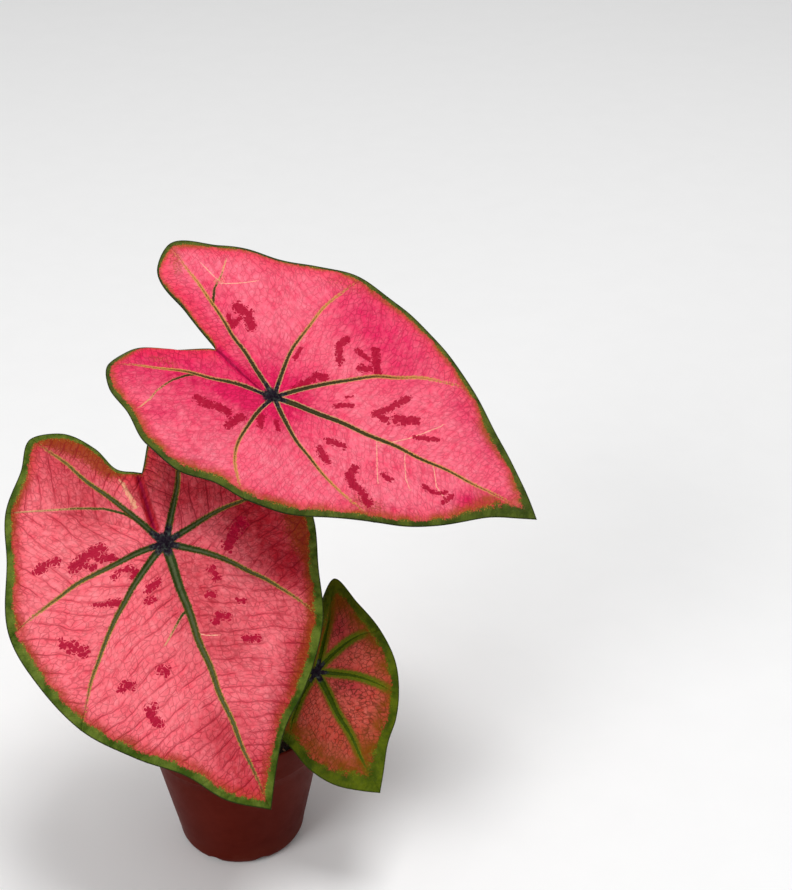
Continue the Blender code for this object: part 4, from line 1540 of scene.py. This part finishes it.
@dataclass
class SoilBed:
    """The peat, replacing its CAD node: a lumpy bed with crumbs and fibres on its top.

    Sizes and places are in millimetres.
    """

    pot: Pot
    finish: PeatFinish
    fibre_finish: PeatFinish
    stalk_feet: Points
    top: float = 80.0
    lump: float = 1.1
    gap: float = 0.3
    rings: int = 70
    sides: int = 160
    crumbs: int = 420
    crumb_reach: float = 45.5
    fibres: int = 46
    fibre_reach: float = 40
    stalk_room: float = 7.5

    def level(self, x: np.ndarray, y: np.ndarray) -> np.ndarray:
        """The top's height at places on it."""
        lumps = np.sin(0.31 * x + 1.3) * np.cos(0.27 * y) + 0.7 * np.sin(0.19 * x - 0.36 * y)
        small = np.sin(1.7 * x + 2 * np.sin(0.9 * y)) * np.sin(1.5 * y + 2 * np.sin(0.8 * x))
        grit = np.sin(4.1 * x + 3 * np.sin(2.7 * y)) * np.sin(3.7 * y + 3 * np.sin(2.3 * x))
        return self.top + self.lump * lumps + 0.35 * small + 0.18 * grit

    def edge(self) -> Outline:
        """The pot's inner face below the soil's edge, up to that edge."""
        height = self.top - 3 * self.lump
        inside = self.pot.inside()
        low = [(radius - self.gap, z + self.gap) for radius, z in inside if z < height - self.gap]
        radius = float(np.interp(height, [z for _, z in inside], [r for r, _ in inside]))
        rim = self.pot.rim - self.pot.wall
        step = inside[-1]
        if height > step[1]:
            radius = step[0] + (rim - step[0]) * (height - step[1]) / (self.pot.height - step[1])
        return low + [(radius - self.gap, height)]

    def bed(self) -> Piece:
        """The bed itself, a lumpy top on walls that follow the pot."""
        profile = self.edge()
        radius, height = profile[-1]
        reach = radius * np.linspace(0, 1, self.rings)[None, :]
        turns = np.linspace(0, 2 * math.pi, self.sides + 1)[:, None]
        x, y = reach * np.cos(turns), reach * np.sin(turns)
        fade = np.clip((radius - reach) / 6, 0, 1) ** 0.7
        z = height + (self.level(x, y) - height) * fade
        bed = laid_grid("peat_bed", np.stack([x, y, z], 2) * MM)

        def walls() -> None:
            """Draws the top's edge down along the pot and closes it under."""
            join_seams()
            choose_open_edges()
            draw_out(profile[::-1])
            bpy.ops.mesh.fill_holes(sides=0)
            face_out()

        edit(bed, walls)
        return bed

    def free_place(self, chance: np.random.Generator, reach: float) -> tuple[float, float]:
        """Finds a place on the top that is clear of the stalks.

        Args:
            chance: the source of random numbers.
            reach: how far from the middle it may be.

        Returns:
            The place.
        """
        while True:
            radius, turn = reach * math.sqrt(chance.random()), 2 * math.pi * chance.random()
            x, y = radius * math.cos(turn), radius * math.sin(turn)
            if all(math.hypot(x - a, y - b) > self.stalk_room for a, b in self.stalk_feet):
                return x, y

    def crumb_heap(self, chance: np.random.Generator) -> Piece:
        """Crumbs of peat, modelled once and copied with their own sizes."""
        add = bpy.ops.mesh.primitive_ico_sphere_add
        first = primitive("peat_crumb", add, subdivisions=2, radius=1)
        ball = np.array([tuple(vertex.co) for vertex in first.data.vertices])
        edge_height = self.top - 3 * self.lump
        heap = []
        for _ in range(self.crumbs):
            x, y = self.free_place(chance, self.crumb_reach)
            size = 0.35 + 0.95 * chance.random() ** 3
            waves = np.sin(ball @ chance.normal(0, 2.2, (3, 3)) + chance.random(3) * 6)
            dents = 1 + 0.28 * waves.sum(1)[:, None] / 2
            stretch = size * (0.7 + 0.6 * chance.random(3))
            crumb = first.copy()
            crumb.data = first.data.copy()
            bpy.context.scene.collection.objects.link(crumb)
            z = float(self.level(np.array(x), np.array(y))) + 0.3 * size
            fade = min(1.0, max(0.0, (47.5 - math.hypot(x, y)) / 6)) ** 0.7
            z = edge_height + (z - edge_height) * fade
            spots = (ball * dents * stretch + (x, y, z)) * MM
            crumb.data.vertices.foreach_set("co", spots.ravel())
            heap.append(crumb)
        bpy.data.objects.remove(first)
        return joined(heap, "peat_crumbs")

    def fibre_layer(self, chance: np.random.Generator) -> Piece:
        """Thin fibres that lie on the top."""
        layer = []
        for _ in range(self.fibres):
            x, y = self.free_place(chance, self.fibre_reach)
            turn, bend = 2 * math.pi * chance.random(), chance.normal(0, 0.12)
            steps = np.linspace(-1, 1, 9) * (2 + 3.5 * chance.random())
            turns = turn + bend * steps
            xs, ys = x + steps * np.cos(turns), y + steps * np.sin(turns)
            zs = self.level(xs, ys) + 0.25
            radii = np.full((9, 6), (0.07 + 0.1 * chance.random()) * MM)
            layer.append(laid_grid("fibre", tube(np.stack([xs, ys, zs], 1) * MM, radii)))
        fibres = joined(layer, "peat_fibres")
        edit(fibres, close_up)
        return fibres

    def build(self) -> None:
        """Builds the bed with its crumbs and fibres."""
        chance = np.random.default_rng(SEED)
        peat = self.finish.material()
        fibre = self.fibre_finish.material()
        pieces = self.bed(), self.crumb_heap(chance), self.fibre_layer(chance)
        for piece, material, nodes in zip(pieces, (peat, peat, fibre), (("soil",), (), ())):
            coat(piece, material)
            smooth(piece, 60)
            place(piece, Slot.PEAT, *nodes)


@dataclass
class Studio:
    """The pale floor, the soft lights and the camera."""

    eye: tuple[float, float, float] = (0.0864, -0.7132, 0.6769)
    look_down: float = 31.0
    lens: float = 1700 / 890 * 36
    film: float = 36
    air: float = 0.42
    aim: tuple[float, float, float] = (0.02, 0, 0.15)

    def floor(self) -> None:
        """A wide pale floor."""
        floor = primitive("studio_floor", bpy.ops.mesh.primitive_plane_add, size=14)
        coat(floor, FloorFinish("floor_paper").material())

    def light(self, name: str, spot: tuple[float, float, float], size: float, power: float) -> None:
        """Hangs one soft light, aimed at the plant.

        Args:
            name: its name.
            spot: where it hangs.
            size: how wide it is, in metres.
            power: how bright it is, in watts.
        """
        data = bpy.data.lights.new(name, "AREA")
        data.size = size
        data.energy = power
        lamp = bpy.data.objects.new(name, data)
        lamp.location = spot
        lamp.rotation_euler = (Vector(self.aim) - Vector(spot)).to_track_quat("-Z", "Y").to_euler()
        bpy.context.scene.collection.objects.link(lamp)

    def build(self) -> None:
        """Builds the stage."""
        scene = bpy.context.scene
        scene.view_settings.view_transform = "Standard"
        world = bpy.data.worlds.new("studio_air")
        world.use_nodes = True
        air = world.node_tree.nodes["Background"].inputs
        air["Color"].default_value = (1, 1, 1, 1)
        air["Strength"].default_value = self.air
        scene.world = world
        self.floor()
        self.light("key", (0.42, -0.16, 3.0), 1.1, 42)
        self.light("fill", (-1.9, -2.05, 1.8), 1.6, 43)
        data = bpy.data.cameras.new("photo_camera")
        data.sensor_width = self.film
        data.lens = self.lens
        camera = bpy.data.objects.new("photo_camera", data)
        camera.location = self.eye
        camera.rotation_euler = (math.radians(90 - self.look_down), 0, 0)
        scene.collection.objects.link(camera)
        scene.camera = camera


PINK = UpperFaceFinish("pink_leaf_face")
# the front leaf's deep colour also serves as painted shade, where the upper leaf's shadow falls
PINK_FRONT = UpperFaceFinish(
    "pink_front_leaf_face", light=(1.0, 0.27, 0.3), rose=(0.94, 0.11, 0.155),
    deep_and_shade=(0.45, 0.014, 0.027), net=(0.22, 0.001, 0.01), net_strength=0.66, rungs=0.85, cell=2.9,
    blotch_gaps=0.42, olive=(0.27, 0.04, 0.004), red=(0.7, 0.03, 0.045), red_edge=0.75,
    border=(0.032, 0.066, 0.002), border_light=(0.11, 0.155, 0.018), speck=(0.4, 0.28, 0.03),
    brown=0.35, core_near=(0.022, 0.042, 0.006), core_far=(0.1, 0.09, 0.014),
    core_middle=(0.085, 0.105, 0.045), line_near=(0.06, 0.08, 0.008), line_far=(0.42, 0.27, 0.05),
    core=1.2, outline=0.42, core_fade=0.5, hub_reach=5.0,
)
RED_GREEN = UpperFaceFinish(
    "red_green_leaf_face", light=(0.66, 0.15, 0.11), rose=(0.5, 0.042, 0.022),
    deep_and_shade=(0.42, 0.025, 0.04), net=(0.07, 0.012, 0.003), net_strength=1.25, rungs=0.2, cell=2.2,
    veinlet=(0.4, 0.12, 0.06), olive=(0.2, 0.055, 0.002), border=(0.038, 0.065, 0.001),
    border_light=(0.095, 0.125, 0.003), rim=(0.03, 0.042, 0.002), speck=(0.3, 0.2, 0.02),
    brown=0.6, brown_reach=3.0, glow=4.4, core_near=(0.03, 0.06, 0.001),
    core_far=(0.045, 0.08, 0.002), core_middle=(0.05, 0.085, 0.003), line_near=(0.12, 0.14, 0.003),
    line_far=(0.13, 0.15, 0.004), core=1.3, core_fade=0.3, hub_reach=2.5,
)
PEAT = PeatFinish("peat")
FIBRE = PeatFinish("peat_fibre", dark=(0.05, 0.03, 0.016), brown=(0.2, 0.12, 0.06), pale_from=0.6)


def main() -> None:
    """Builds every piece of the plant and the studio round it."""
    logging.basicConfig(level=logging.INFO, format="%(name)s %(message)s")
    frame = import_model()
    make_groups()
    under = UndersideFinish("leaf_underside")
    Blade(UPPER_SHAPE, UPPER_MARKS, PINK, under, Slot.LARGE_BLADE).build()
    Blade(FRONT_SHAPE, FRONT_MARKS, PINK_FRONT, under, Slot.LARGE_BLADE).build()
    Blade(SIDE_SHAPE, SIDE_MARKS, RED_GREEN, under, Slot.SMALL_BLADE, spoke_gap=1.1, rings=75).build()
    shapes = UPPER_SHAPE, FRONT_SHAPE, SIDE_SHAPE
    for shape in shapes:
        Stalk(shape, StalkFinish("stalk_skin")).build()
    pot = Pot(PlasticFinish("pot_plastic_moulded"))
    pot.build()
    SoilBed(pot, PEAT, FIBRE, tuple(shape.foot for shape in shapes)).build()
    skin = TuberFinish("tuber_cork").material()
    for part in frame["nodes"]["tuber"].material_slots:
        part.material = skin
    Studio().build()


if __name__ == "__main__":
    main()
